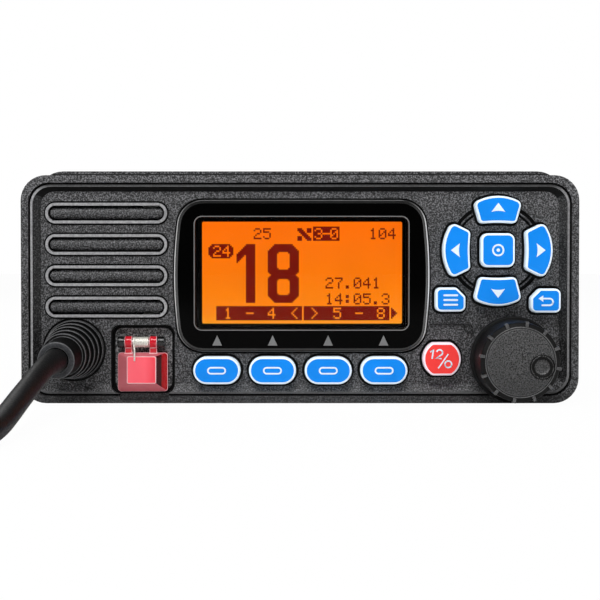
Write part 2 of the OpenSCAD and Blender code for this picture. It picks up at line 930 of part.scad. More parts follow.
// One ring of points round a route, square to it
function ring(path, i, r, sides) =
    let (t = along(path, i), side = cross(t, [0, 0, 1]) / norm(cross(t, [0, 0, 1])), lift = cross(side, t))
    [for (s = [0 : sides - 1]) path[i] + r * (side * cos(360 * s / sides) + lift * sin(360 * s / sides))];

// A round tube swept along a route
module tube(path, r, sides) {
    n = len(path);
    points = [for (i = [0 : n - 1]) each ring(path, i, r, sides)];
    walls = [for (i = [0 : n - 2], s = [0 : sides - 1])
        let (a = i * sides, b = a + sides, next = (s + 1) % sides)
        [a + s, a + next, b + next, b + s]];
    start = [for (s = [sides - 1 : -1 : 0]) s];
    finish = [for (s = [0 : sides - 1]) (n - 1) * sides + s];
    polyhedron(points = points, faces = concat([start, finish], walls), convexity = 6);
}

module mic_cord() {
    color(black)
        tube(cord_route, cord_r, 10);
}

module mic_cord_curl() {
    color(black)
        translate(curl_start)
            rotate([-90, 0, 0])
                cylinder(h = norm(curl_end - curl_start), r = curl_d / 2 - 0.05);
}

module mic_cord_tail() {
    color(black)
        tube(tail_route, cord_r, 10);
}

// ---- chassis ----

seal_t = 1;
chassis_w = panel_w - 2 * chassis_inset;
chassis_h = panel_h + 0.6;
chassis_front = panel_len + seal_t;
rear_wall_t = 4;
rear_face = body_depth - fin_len;
lid_t = 1.5;
lid_lap = 3;
connector_x = [from_left(24), from_left(24), from_left(46)];
connector_z = [44, 17, 17];
grommet_r = 5;
grommet_hole_r = 4;
side_thread_t = 62;
side_thread_z = 33;
side_thread_len = 7;
screw_hole = 1.25;

module chassis_outline(inset) {
    translate([0, chassis_h / 2])
        rounded_box(chassis_w - 2 * inset, chassis_h - 2 * inset, 5 - inset * 0.6);
}

main_board_z = 9;
main_board_front = chassis_front + 8;
main_board_back = rear_face - rear_wall_t - 4;
main_board_x = chassis_w / 2 - cast_wall - 4;
board_post_x = main_board_x - 4;
board_post_t = [main_board_front + 4, main_board_back - 4];
lid_screw_x = chassis_w / 2 - cast_wall - 3;
lid_screw_t = [chassis_front + 14, (chassis_front + rear_face) / 2, rear_face - rear_wall_t - 4];
fins_from = from_left(62);

module chassis() {
    color(cast_grey)
        difference() {
            union() {
                difference() {
                    between(chassis_front, rear_face)
                        chassis_outline(0);
                    between(chassis_front - over, rear_face - rear_wall_t)
                        chassis_outline(cast_wall);
                    block(-chassis_w / 2 + cast_wall, chassis_w / 2 - cast_wall, chassis_front + 6,
                        rear_face - rear_wall_t, chassis_h - cast_wall - over, chassis_h + over);
                    // seat for the lid
                    block(-chassis_w / 2 + lid_lap - 1, chassis_w / 2 - lid_lap + 1, chassis_front + 5,
                        rear_face - 1, chassis_h - lid_t, chassis_h + over);
                }
                for (x = [fins_from : fin_pitch : chassis_w / 2 - 5])
                    block(x, x + fin_t, rear_face - 0.1, body_depth, 0, chassis_h);
                for (x = [-1, 1], z = panel_boss_z)
                    post(x * panel_boss_x, z, chassis_front, chassis_front + lug_len, lug_r, lug_r);
                for (x = [-1, 1], t = board_post_t)
                    translate([x * board_post_x, front_y + t, cast_wall - 0.1])
                        cylinder(h = main_board_z - cast_wall + 0.1, r = 3);
                for (x = [-1, 1], t = lid_screw_t)
                    translate([x * lid_screw_x, front_y + t, chassis_h - lid_t - 9])
                        cylinder(h = 9, r = lug_r);
                for (side = [-1, 1])
                    translate([side * (chassis_w / 2 - 0.1), front_y + side_thread_t, side_thread_z])
                        rotate([0, -90 * side, 0])
                            cylinder(h = side_thread_len, r = side_thread_r + 2.5);
            }
            for (x = [-1, 1], z = panel_boss_z)
                post(x * panel_boss_x, z, chassis_front - over, chassis_front + lug_len + over, panel_screw_r + seat,
                    panel_screw_r + seat);
            // room for the screws' heads behind the lugs
            for (x = [-1, 1], z = panel_boss_z)
                post(x * panel_boss_x, z, chassis_front + lug_len, chassis_front + lug_len + 3, panel_head_r + 0.2,
                    panel_head_r + 0.2);
            for (x = [-1, 1], t = board_post_t)
                translate([x * board_post_x, front_y + t, cast_wall])
                    cylinder(h = main_board_z, r = screw_hole);
            for (x = [-1, 1], t = lid_screw_t)
                translate([x * lid_screw_x, front_y + t, chassis_h - lid_t - 8])
                    cylinder(h = 9, r = screw_hole);
            for (side = [-1, 1])
                translate([side * (chassis_w / 2 + over), front_y + side_thread_t, side_thread_z])
                    rotate([0, -90 * side, 0])
                        cylinder(h = side_thread_len + over - 0.6, r = side_thread_r);
            post(connector_x[0], connector_z[0], rear_face - rear_wall_t - over, rear_face + over,
                socket_neck_r, socket_neck_r);
            for (i = [1, 2])
                post(connector_x[i], connector_z[i], rear_face - rear_wall_t - over, rear_face + over,
                    grommet_hole_r, grommet_hole_r);
            for (sx = [-1, 1], sz = [-1, 1])
                post(connector_x[0] + sx * flange_screw_off, connector_z[0] + sz * flange_screw_off,
                    rear_face - rear_wall_t - over, rear_face + over, 1.2, 1.2);
        }
}

module front_gasket() {
    color(black)
        between(panel_len, chassis_front)
            difference() {
                panel_outline(3.2);
                panel_outline(5.6);
                for (x = [-1, 1], z = panel_boss_z)
                    translate([x * panel_boss_x, z])
                        circle(r = panel_screw_r + seat);
            }
}

module chassis_lid() {
    x = chassis_w / 2 - lid_lap + 1 - 0.2;
    color(cast_grey)
        difference() {
            block(-x, x, chassis_front + 5.2, rear_face - 1.2, chassis_h - lid_t, chassis_h);
            for (side = [-1, 1], t = lid_screw_t)
                translate([side * lid_screw_x, front_y + t, chassis_h - lid_t - over])
                    cylinder(h = lid_t + 2 * over, r = screw_hole + 0.25);
        }
}

module lid_screws() {
    color(black)
        for (side = [-1, 1], t = lid_screw_t)
            translate([side * lid_screw_x, front_y + t, chassis_h])
                mirror([0, 0, 1])
                    screw(2.4, 1, screw_hole, 7);
}

module panel_screws() {
    color(bright_metal)
        for (side = [-1, 1], z = panel_boss_z)
            translate([side * panel_boss_x, front_y + chassis_front + lug_len, z])
                rotate([90, 0, 0])
                    screw(panel_head_r, 1.8, panel_screw_r, 16);
}

// ---- electronics ----

rf_x = 30;
rf_w = 52;
rf_len = 26;
rf_h = 9;
can_w = 44;
can_len = 34;
can_h = 7;
ribbon_w = 22;
ribbon_t = 0.4;
ribbon_x = 4;

module main_board() {
    color(board_green)
        difference() {
            block(-main_board_x, main_board_x, main_board_front, main_board_back,
                main_board_z, main_board_z + board_t);
            for (x = [-1, 1], t = board_post_t)
                translate([x * board_post_x, front_y + t, main_board_z - over])
                    cylinder(h = board_t + 2 * over, r = screw_hole + 0.25);
        }
}

module board_screws() {
    color(bright_metal)
        for (x = [-1, 1], t = board_post_t)
            translate([x * board_post_x, front_y + t, main_board_z + board_t])
                mirror([0, 0, 1])
                    screw(2.4, 1.6, screw_hole, 5);
}

module rf_module() {
    color(bright_metal)
        block(rf_x - rf_w / 2, rf_x + rf_w / 2, main_board_back - rf_len - 2, main_board_back - 2,
            main_board_z + board_t, main_board_z + board_t + rf_h);
}

module shield_can() {
    t0 = main_board_front + 12;
    z0 = main_board_z + board_t;
    color(bright_metal)
        difference() {
            block(-can_w / 2 - 20, can_w / 2 - 20, t0, t0 + can_len, z0, z0 + can_h);
            block(-can_w / 2 - 19.6, can_w / 2 - 20.4, t0 + 0.4, t0 + can_len - 0.4, z0 - over, z0 + can_h - 0.4);
        }
}

// The flat cable from the front board's back down to the main board's top
module ribbon_cable() {
    z1 = main_board_z + board_t;
    t0 = board_front + board_t;
    color([0.85, 0.8, 0.7])
        translate([ribbon_x, front_y, 0])
            rotate([0, -90, 180])
                mirror([0, 1, 0])
                    linear_extrude(height = ribbon_w)
                        polygon([[z1, main_board_front + 8], [z1, main_board_front + 1], [z1 + 10, t0 + 4],
                            [z1 + 22, t0 + 4], [z1 + 24, t0], [z1 + 30, t0], [z1 + 30, t0 + ribbon_t],
                            [z1 + 24.3, t0 + ribbon_t], [z1 + 22.3, t0 + 4 + ribbon_t],
                            [z1 + 10.2, t0 + 4 + ribbon_t], [z1 + ribbon_t, main_board_front + 1.4],
                            [z1 + ribbon_t, main_board_front + 8]]);
}

// ---- rear connections ----

socket_neck_r = 7;
socket_flange_w = 25.4;
socket_flange_t = 1.6;
flange_screw_off = 9.1;
socket_bore_r = 6;
insulator_r = 5.9;
contact_r = 2.9;

module antenna_socket() {
    x = connector_x[0];
    z = connector_z[0];
    color(bright_metal)
        difference() {
            union() {
                between(rear_face, rear_face + socket_flange_t)
                    translate([x, z])
                        rounded_box(socket_flange_w, socket_flange_w, 2);
                post(x, z, rear_face - 5, rear_face + 0.1, socket_neck_r - 0.1, socket_neck_r - 0.1);
                post(x, z, rear_face, rear_face + socket_flange_t + socket_len, socket_r, socket_r);
            }
            post(x, z, rear_face - 5 - over, rear_face + socket_flange_t + socket_len + over,
                socket_bore_r, socket_bore_r);
            for (sx = [-1, 1], sz = [-1, 1])
                post(x + sx * flange_screw_off, z + sz * flange_screw_off, rear_face - over,
                    rear_face + socket_flange_t + over, 1.5, 1.5);
        }
}

module antenna_insulator() {
    x = connector_x[0];
    z = connector_z[0];
    rim = rear_face + socket_flange_t + socket_len;
    color("white")
        difference() {
            post(x, z, rear_face - 5, rim - 1.5, insulator_r, insulator_r);
            post(x, z, rear_face - 1, rim, contact_r, contact_r);
        }
    color([0.8, 0.65, 0.3])
        difference() {
            union() {
                post(x, z, rear_face - 1, rim - 0.5, contact_r, contact_r);
                post(x, z, rear_face - 9, rear_face - 1, 1, 1);
            }
            post(x, z, rear_face + 3, rim, contact_r - 0.9, contact_r - 0.9);
        }
}

module socket_screws() {
    color(bright_metal)
        for (sx = [-1, 1], sz = [-1, 1])
            translate([connector_x[0] + sx * flange_screw_off, front_y + rear_face + socket_flange_t,
                connector_z[0] + sz * flange_screw_off])
                rotate([90, 0, 0])
                    screw(2.4, 1.4, 1.15, 4);
}

// A rubber grommet in the rear wall, with its bore for a lead
module grommet(i, bore_r) {
    color(black)
        difference() {
            union() {
                post(connector_x[i], connector_z[i], rear_face, rear_face + 3, grommet_r + 1, grommet_r);
                post(connector_x[i], connector_z[i], rear_face - rear_wall_t, rear_face,
                    grommet_hole_r, grommet_hole_r);
                post(connector_x[i], connector_z[i], rear_face - rear_wall_t - 1.5, rear_face - rear_wall_t,
                    grommet_r, grommet_r);
            }
            post(connector_x[i], connector_z[i], rear_face - rear_wall_t - 3, rear_face + 4, bore_r, bore_r);
        }
}

module power_grommet() {
    grommet(1, 2.6);
}

module data_grommet() {
    grommet(2, 1.8);
}

// ---- fist microphone ----

mic_split_z = mic_t * 0.45;
mic_base_w = mic_w - 14;
mic_wall = 2;
mic_side = 54;              // length of the straight sides, from the top end
mic_turn = [[0.4, 0.4], [0.75, 1.4], [1, 3]];   // share of the turn's height, inset there
mic_turn_front = 5;
mic_turn_back = 3.5;
mic_boot_z = 14;
mic_boot_r = 5.4;
mic_boot_len = 13.6;
mic_boot_droop = 15;        // degrees
mic_boot_off = mic_boot_r * sin(mic_boot_droop);
ptt_len = 34;
ptt_off = 31;               // from the top end to the key's middle
ptt_h = 11;
ptt_out = 2.6;
ptt_grooves = 3;             // on each side of the middle one
mic_key_w = 11;
mic_key_h = 6;
mic_key_off = 8.5;
mic_key_y = mic_foot_y - mic_len + 12;
capsule_y = mic_foot_y - mic_len * 0.42;
stud_r = 6;
stud_hole_r = 8;
mic_screw_x = mic_base_w / 2 - 5;
mic_screw_y = [mic_foot_y - 7, mic_foot_y - mic_len + 8];

// Plan outline of the microphone, drawn in by an inset
module mic_outline(inset) {
    w0 = mic_base_w / 2 - inset;
    w1 = mic_w / 2 - inset;
    y0 = mic_foot_y - inset;
    y1 = mic_foot_y - mic_len + inset;
    translate([mic_x, 0])
        polygon(rounded(
            [[w0, y0], [w1, y1 + mic_side], [w1, y1], [-w1, y1], [-w1, y1 + mic_side], [-w0, y0]],
            [8, 40, 12 - inset, 12 - inset, 40, 8]));
}

// The outside of a shell: upright walls that turn in towards its flat face at z
module mic_body(z_wall, z) {
    turn = z - z_wall;
    side = sign(turn);
    hull() {
        slab(z_wall - side, z_wall)
            mic_outline(0);
        for (step = mic_turn)
            slab(z_wall + turn * step[0] - 0.01 * side, z_wall + turn * step[0])
                mic_outline(step[1]);
    }
}

module slab(z0, z1) {
    translate([0, 0, min(z0, z1)])
        linear_extrude(height = abs(z1 - z0))
            children();
}

module ptt_2d(grow) {
    translate([mic_foot_y - mic_len + ptt_off, mic_t / 2])
        rounded_box(ptt_len + 2 * grow, ptt_h + 2 * grow, 3);
}

// The push-to-talk key's prism through the microphone's side wall
module ptt_prism(x0, x1, grow) {
    translate([x0, 0, 0])
        rotate([90, 0, 90])
            linear_extrude(height = x1 - x0)
                ptt_2d(grow);
}

module mic_key_2d(side, grow) {
    translate([mic_x + side * mic_key_off, mic_key_y])
        rounded_box(mic_key_w + 2 * grow, mic_key_h + 2 * grow, 1.5);
}

mic_side_x = mic_x + mic_w / 2;
grille_slots = 5;
grille_pitch = 4.5;
grille_w = 1.6;

module mic_front_shell() {
    color(charcoal)
        difference() {
            union() {
                slab(mic_split_z, mic_t - mic_turn_front)
                    mic_outline(0);
                mic_body(mic_t - mic_turn_front, mic_t);
            }
            slab(mic_split_z - over, mic_t - mic_turn_front)
                mic_outline(mic_wall);
            slab(mic_split_z - over, mic_t - mic_wall)
                mic_outline(mic_wall + 2.2);
            // sunken disc round the slots
            slab(mic_t - 0.5, mic_t + over)
                translate([mic_x, capsule_y])
                    circle(r = 16);
            for (i = [0 : grille_slots - 1])
                slab(mic_t - mic_wall - over, mic_t + over)
                    translate([mic_x, capsule_y + (i - (grille_slots - 1) / 2) * grille_pitch])
                        rounded_box(26 - abs(i - 2) * 4, grille_w, 0.7);
            for (side = [-1, 1])
                slab(mic_t - mic_wall - over, mic_t + over)
                    mic_key_2d(side, key_gap);
            ptt_prism(mic_side_x - 8, mic_side_x + 8, key_gap);
            translate([mic_x, mic_foot_y, mic_boot_z])
                rotate([90, 0, 0])
                    translate([0, 0, -over])
                        cylinder(h = mic_wall + 2 * over, r = mic_boot_r - 0.9);
        }
    color(charcoal)
        difference() {
            for (x = [-1, 1], y = mic_screw_y)
                translate([mic_x + x * mic_screw_x, y, mic_split_z])
                    cylinder(h = mic_t - mic_wall - mic_split_z, r = 2.6);
            for (x = [-1, 1], y = mic_screw_y)
                translate([mic_x + x * mic_screw_x, y, mic_split_z - over])
                    cylinder(h = 9, r = 1);
        }
}

module mic_back_shell() {
    color(charcoal)
        difference() {
            union() {
                difference() {
                    union() {
                        slab(mic_turn_back, mic_split_z)
                            mic_outline(0);
                        mic_body(mic_turn_back, 0);
                    }
                    slab(mic_turn_back, mic_split_z + over)
                        mic_outline(mic_wall);
                    slab(mic_wall, mic_split_z + over)
                        mic_outline(mic_wall + 2.2);
                }
                translate([mic_x, capsule_y, 0])
                    cylinder(h = mic_wall + 5, r = stud_hole_r + 2);
                for (x = [-1, 1], y = mic_screw_y)
                    translate([mic_x + x * mic_screw_x, y, 0])
                        cylinder(h = mic_split_z, r = 2.6);
            }
            translate([mic_x, capsule_y, -over])
                cylinder(h = over + 4.5, r = stud_hole_r);
            for (x = [-1, 1], y = mic_screw_y) {
                translate([mic_x + x * mic_screw_x, y, -over])
                    cylinder(h = mic_split_z + 2 * over, r = 1.15);
                translate([mic_x + x * mic_screw_x, y, -over])
                    cylinder(h = over + 2.2, r = 2);
            }
            ptt_prism(mic_side_x - 8, mic_side_x + 8, key_gap);
            translate([mic_x, mic_foot_y, mic_boot_z])
                rotate([90, 0, 0])
                    translate([0, 0, -over])
                        cylinder(h = mic_wall + 2 * over, r = mic_boot_r - 0.9);
        }
}

module ptt_key() {
    color(black)
        difference() {
            ptt_prism(mic_side_x - mic_wall - 0.3, mic_side_x + ptt_out, 0);
            // grip grooves across the key
            for (i = [-ptt_grooves : ptt_grooves])
                translate([mic_side_x + ptt_out - 0.7, mic_foot_y - mic_len + ptt_off + i * 4 - 0.5, 0])
                    cube([0.7 + over, 1, mic_t]);
        }
    color(black)
        ptt_prism(mic_side_x - mic_wall - 1.4, mic_side_x - mic_wall - 0.3, 0.8);
}

module mic_key(side) {
    color(charcoal)
        slab(mic_t - mic_wall - 0.3, mic_t + 0.8)
            mic_key_2d(side, 0);
    color(charcoal)
        slab(mic_t - mic_wall - 1.1, mic_t - mic_wall - 0.3)
            mic_key_2d(side, 0.8);
}

module mic_key_up() {
    mic_key(1);
}

module mic_key_down() {
    mic_key(-1);
}

module mic_boot() {
    color(black) {
        translate([mic_x, mic_foot_y + mic_boot_off, mic_boot_z])
            rotate([-90 - mic_boot_droop, 0, 0])
                ribbed_boot(mic_boot_r, 0.35, 3, 4, mic_boot_len, cord_r + 1);
        translate([mic_x, mic_foot_y - mic_wall - 0.1, mic_boot_z])
            rotate([-90, 0, 0])
                cylinder(h = mic_wall + 0.1 + 2 * mic_boot_off, r = mic_boot_r - 1);
        translate([mic_x, mic_foot_y - mic_wall - 2.1, mic_boot_z])
            rotate([-90, 0, 0])
                cylinder(h = 2, r = mic_boot_r);
    }
}

module mic_hang_stud() {
    color(bright_metal)
        translate([mic_x, capsule_y, 0.4]) {
            cylinder(h = 1.6, r = stud_r);
            cylinder(h = 4.1, r = 2.5);
        }
}

module mic_screws() {
    color(bright_metal)
        for (x = [-1, 1], y = mic_screw_y)
            translate([mic_x + x * mic_screw_x, y, 2.2])
                screw(1.9, 1.2, 0.95, mic_split_z + 4);
}

module mic_capsule() {
    color(bright_metal)
        translate([mic_x, capsule_y, mic_t - mic_wall - 4.3])
            cylinder(h = 4, r = 5);
}

front_panel();
speaker_mesh();
speaker_foam();
speaker_frame();
speaker_cone();
speaker_magnet();
display_window();
window_gasket();
lcd_glass();
backlight_frame();
front_key("soft_key_1", key_blue);  // soft_key_1
front_key("soft_key_2", key_blue);  // soft_key_2
front_key("soft_key_3", key_blue);  // soft_key_3
front_key("soft_key_4", key_blue);  // soft_key_4
front_key("key_up", key_blue);  // key_up
front_key("key_down", key_blue);  // key_down
front_key("key_left", key_blue);  // key_left
front_key("key_right", key_blue);  // key_right
front_key("key_ok", key_blue);  // key_ok
front_key("key_menu", key_blue);  // key_menu
front_key("key_back", key_blue);  // key_back
front_key("key_channel", key_red);  // key_channel
keypad_mat();
front_board();
distress_cover();
cover_pin();
cover_spring();
distress_key();
volume_knob();
knob_shaft();
encoder_body();
push_plunger();
cord_boot();
mic_cord();
mic_cord_curl();
mic_cord_tail();
front_gasket();
chassis();
chassis_lid();
lid_screws();
panel_screws();
main_board();
board_screws();
rf_module();
shield_can();
ribbon_cable();
antenna_socket();
antenna_insulator();
socket_screws();
power_grommet();
data_grommet();
mic_front_shell();
mic_back_shell();
ptt_key();
mic_key_up();
mic_key_down();
mic_boot();
mic_hang_stud();
mic_screws();
mic_capsule();
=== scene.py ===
# Marine VHF radio on a pale floor, seen square on from the front.
# Lengths are in metres. Sizes given in millimetres are multiplied by mm where they are used,
# and a depth t on the front is measured inwards from the plane of the outer rail.
import math

import bmesh
import bpy
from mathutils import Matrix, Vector


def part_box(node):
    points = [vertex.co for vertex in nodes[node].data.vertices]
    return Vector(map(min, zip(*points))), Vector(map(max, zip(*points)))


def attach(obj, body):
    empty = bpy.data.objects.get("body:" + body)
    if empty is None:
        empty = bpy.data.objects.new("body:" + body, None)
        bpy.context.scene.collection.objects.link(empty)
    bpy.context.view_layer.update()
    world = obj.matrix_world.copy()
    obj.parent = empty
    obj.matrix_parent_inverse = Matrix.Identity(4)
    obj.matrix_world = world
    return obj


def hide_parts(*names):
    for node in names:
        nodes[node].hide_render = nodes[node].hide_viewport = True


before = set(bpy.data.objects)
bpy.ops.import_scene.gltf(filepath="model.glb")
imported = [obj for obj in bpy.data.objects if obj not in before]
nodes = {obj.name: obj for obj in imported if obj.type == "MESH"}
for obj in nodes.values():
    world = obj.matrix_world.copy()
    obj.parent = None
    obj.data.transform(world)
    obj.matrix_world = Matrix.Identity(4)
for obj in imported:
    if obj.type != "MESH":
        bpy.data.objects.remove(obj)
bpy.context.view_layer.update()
mm = 0.001
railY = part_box("front_panel")[0].y + 0.2 * mm      # the hinge bosses stand 0.2 mm proud of the rail
print("frame loaded:", len(nodes), "nodes")


# camera square on to the front, tipped down a little
camera = {"distance": 420 * mm, "height": 39.7 * mm, "tilt": 1.37, "lens": 87.9}


def placeCamera(c):
    data = bpy.data.cameras.new("camera")
    data.lens = c["lens"]
    data.sensor_width = 36
    data.clip_start = 0.01
    data.clip_end = 20
    eye = bpy.data.objects.new("camera", data)
    eye.location = (0, railY - c["distance"], c["height"])
    eye.rotation_euler = (math.radians(90 - c["tilt"]), 0, 0)
    bpy.context.scene.collection.objects.link(eye)
    bpy.context.scene.camera = eye


placeCamera(camera)


# a place on the front, across and up in metres and t inwards in millimetres
def onFront(u, v, t):
    return Vector((u, railY + t * mm, v))


def addObject(name, data, body, materials):
    for material in materials:
        data.materials.append(material)
    thing = bpy.data.objects.new(name, data)
    bpy.context.scene.collection.objects.link(thing)
    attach(thing, body)
    return thing


def finishMesh(name, mesh, body, materials, flat=False):
    bmesh.ops.remove_doubles(mesh, verts=mesh.verts, dist=1e-7)
    bmesh.ops.recalc_face_normals(mesh, faces=mesh.faces)
    for face in mesh.faces:
        face.smooth = not flat
    data = bpy.data.meshes.new(name)
    mesh.to_mesh(data)
    mesh.free()
    return addObject(name, data, body, materials)


def soften(thing, width, segments=2, angle=35):
    bevel = thing.modifiers.new("edges", "BEVEL")
    bevel.width = width * mm
    bevel.segments = segments
    bevel.limit_method = "ANGLE"
    bevel.angle_limit = math.radians(angle)
    bevel.harden_normals = False
    shade = thing.modifiers.new("shading", "WEIGHTED_NORMAL")
    shade.keep_sharp = True
    return thing


# outlines, as points (across, up) that run anticlockwise
def roundedLoop(midU, midV, w, h, r):
    out, perCorner = [], 8
    for cu, cv, start in ((1, -1, -90), (1, 1, 0), (-1, 1, 90), (-1, -1, 180)):
        for i in range(perCorner + 1):
            a = math.radians(start + 90 * i / perCorner)
            out.append(Vector((midU + cu * (w / 2 - r) + r * math.cos(a),
                               midV + cv * (h / 2 - r) + r * math.sin(a))))
    return out


def circleLoop(midU, midV, r, count=48):
    turns = [2 * math.pi * i / count for i in range(count)]
    return [Vector((midU + r * math.cos(a), midV + r * math.sin(a))) for a in turns]


# outline of a CAD node's foremost plane
def loopOf(node):
    verts = [v.co for v in nodes[node].data.vertices]
    y = min(v.y for v in verts)
    near = [v for v in verts if abs(v.y - y) < 0.02 * mm]
    points = list({(round(v.x / mm, 3), round(v.z / mm, 3)): Vector((v.x, v.z)) for v in near}.values())
    mid = sum(points, Vector((0, 0))) / len(points)
    return sorted(points, key=lambda p: math.atan2(p.y - mid.y, p.x - mid.x))


# the same outline with its points evenly spaced
def evenLoop(points, count):
    n = len(points)
    spans = [(points[(i + 1) % n] - points[i]).length for i in range(n)]
    total, out, i, done = sum(spans), [], 0, 0.0
    for k in range(count):
        want = total * k / count
        while done + spans[i] < want:
            done += spans[i]
            i += 1
        out.append(points[i].lerp(points[(i + 1) % n], (want - done) / spans[i]))
    return out


def grown(loop, by):
    out = []
    for i, p in enumerate(loop):
        run = (loop[(i + 1) % len(loop)] - loop[i - 1]).normalized()
        out.append(p + Vector((run.y, -run.x)) * by)
    return out


def bridge(mesh, a, b, material):
    n = len(a)
    for i in range(n):
        face = mesh.faces.new((a[i], a[(i + 1) % n], b[(i + 1) % n], b[i]))
        face.material_index = material


# rings that shrink to the middle, raised like a crown
def closeLoop(mesh, ring, material, rise):
    mid = sum((v.co for v in ring), Vector()) / len(ring)
    inner = ring
    for share in (0.7, 0.35):
        lift = Vector((0, -1, 0)) * rise * mm * (1 - share * share)
        nextRing = [mesh.verts.new(mid.lerp(v.co, share) + lift) for v in ring]
        bridge(mesh, inner, nextRing, material)
        inner = nextRing
    face = mesh.faces.new(inner)
    face.material_index = material


# rings of one outline, each a growth and a depth in millimetres and a material, closed at the ends asked for
def loft(mesh, loop, steps, crown=0.0, backCap=True, frontCap=True):
    rings = [([mesh.verts.new(onFront(p.x, p.y, t)) for p in grown(loop, growth * mm)], m)
             for growth, t, m in steps]
    for (a, _), (b, m) in zip(rings, rings[1:]):
        bridge(mesh, a, b, m)
    if frontCap:
        closeLoop(mesh, rings[-1][0], rings[-1][1], crown)
    if backCap:
        face = mesh.faces.new(list(reversed(rings[0][0])))
        face.material_index = rings[0][1]
    return [r for r, _ in rings]


# flat faces between an outline and an opening inside it
def fillBetween(mesh, outer, inner, material):
    pairs = [pair for ring in (outer, inner) for pair in zip(ring, ring[1:] + ring[:1])]
    edges = [mesh.edges.get(pair) or mesh.edges.new(pair) for pair in pairs]
    for piece in bmesh.ops.triangle_fill(mesh, use_beauty=True, edges=edges)["geom"]:
        if isinstance(piece, bmesh.types.BMFace):
            piece.material_index = material


def addPrism(mesh, points, tBack, tFront, material):
    back = [mesh.verts.new(onFront(p[0], p[1], tBack)) for p in points]
    front = [mesh.verts.new(onFront(p[0], p[1], tFront)) for p in points]
    bridge(mesh, back, front, material)
    for ring in (front, list(reversed(back))):
        mesh.faces.new(ring).material_index = material


def addRing(mesh, outer, inner, tBack, tFront, material):
    rings = [[mesh.verts.new(onFront(p[0], p[1], t)) for p in loop]
             for loop, t in ((outer, tBack), (outer, tFront), (inner, tFront), (inner, tBack))]
    for a, b in zip(rings, rings[1:] + rings[:1]):
        bridge(mesh, a, b, material)


# a turned shape round an axis: profile of (radius, distance along), with a radius of 0 at a closed end
def addLathe(mesh, origin, axis, profile, material, sides):
    axis = Vector(axis).normalized()
    side = axis.orthogonal().normalized()
    up = axis.cross(side)
    angles = [2 * math.pi * i / sides for i in range(sides)]
    rings = []
    for r, along in profile:
        mid = Vector(origin) + axis * along * mm
        if r <= 0:
            rings.append([mesh.verts.new(mid)])
        else:
            rings.append([mesh.verts.new(mid + side * (r * mm) * math.cos(a) + up * (r * mm) * math.sin(a))
                          for a in angles])
    for a, b in zip(rings, rings[1:]):
        if len(a) == 1 and len(b) == 1:
            continue
        if len(a) == 1 or len(b) == 1:
            pole, ring = (a[0], b) if len(a) == 1 else (b[0], a)
            for i in range(sides):
                mesh.faces.new((pole, ring[i], ring[(i + 1) % sides])).material_index = material
        else:
            bridge(mesh, a, b, material)


def tubeObject(name, points, radius, body, material, radii=None):
    data = bpy.data.curves.new(name, "CURVE")
    data.dimensions = "3D"
    data.bevel_depth = radius
    data.bevel_resolution = 7
    data.use_fill_caps = True
    spline = data.splines.new("POLY")
    spline.points.add(len(points) - 1)
    for i, p in enumerate(points):
        spline.points[i].co = (*p, 1)
        spline.points[i].radius = radii[i] if radii else 1
    spline.use_smooth = True
    return addObject(name, data, body, [material])


# a curve through the points, perSpan steps between each two
def smoothLine(points, perSpan):
    out = []
    pts = [Vector(p) for p in points]
    pts = [2 * pts[0] - pts[1]] + pts + [2 * pts[-1] - pts[-2]]
    for i in range(1, len(pts) - 2):
        a, b, c, d = pts[i - 1:i + 3]
        for k in range(perSpan):
            t = k / perSpan
            out.append(0.5 * (2 * b + (c - a) * t + (2 * a - 5 * b + 4 * c - d) * t * t
                              + (3 * b - a - 3 * c + d) * t ** 3))
    out.append(pts[-2])
    return out


# materials, all built from nodes
def newMaterial(name):
    material = bpy.data.materials.new(name)
    material.use_nodes = True
    tree = material.node_tree
    return material, tree.nodes, tree.links, tree.nodes["Principled BSDF"]


def setInputs(node, values):
    for name, value in values.items():
        node.inputs[name].default_value = value


# noise whose marks are about that many millimetres across
def noiseNode(n, link, size, detail=3.0, stretch=None):
    place = n.new("ShaderNodeTexCoord")
    noise = n.new("ShaderNodeTexNoise")
    setInputs(noise, {"Scale": 1 / (size * mm), "Detail": detail, "Roughness": 0.55})
    source = place.outputs["Object"]
    if stretch:
        mapping = n.new("ShaderNodeMapping")
        mapping.inputs["Scale"].default_value = stretch
        link.new(source, mapping.inputs["Vector"])
        source = mapping.outputs["Vector"]
    link.new(source, noise.inputs["Vector"])
    return noise.outputs["Fac"]


# stops are pairs of a position and a colour, where one number is a grey
def rampNode(n, link, source, stops):
    ramp = n.new("ShaderNodeValToRGB")
    while len(ramp.color_ramp.elements) < len(stops):
        ramp.color_ramp.elements.new(0.5)
    for element, (position, color) in zip(ramp.color_ramp.elements, stops):
        element.position = position
        element.color = (*color, 1) if isinstance(color, tuple) else (color, color, color, 1)
    link.new(source, ramp.inputs["Fac"])
    return ramp.outputs["Color"]


def grainBump(n, link, skin, height, depth):
    bump = n.new("ShaderNodeBump")
    setInputs(bump, {"Strength": 1, "Distance": depth * mm})
    link.new(height, bump.inputs["Height"])
    link.new(bump.outputs["Normal"], skin.inputs["Normal"])


# tones that follow each other along one axis, from start to end, or both ways from the middle
def toneAlong(n, link, axis, start, end, stops, both=False):
    place = n.new("ShaderNodeTexCoord")
    apart = n.new("ShaderNodeSeparateXYZ")
    link.new(place.outputs["Object"], apart.inputs["Vector"])
    source = apart.outputs[axis]
    if both:
        far = n.new("ShaderNodeMath")
        far.operation = "ABSOLUTE"
        link.new(source, far.inputs[0])
        source = far.outputs["Value"]
    share = n.new("ShaderNodeMapRange")
    setInputs(share, {"From Min": start, "From Max": end})
    link.new(source, share.inputs["Value"])
    return rampNode(n, link, share.outputs["Result"], stops)


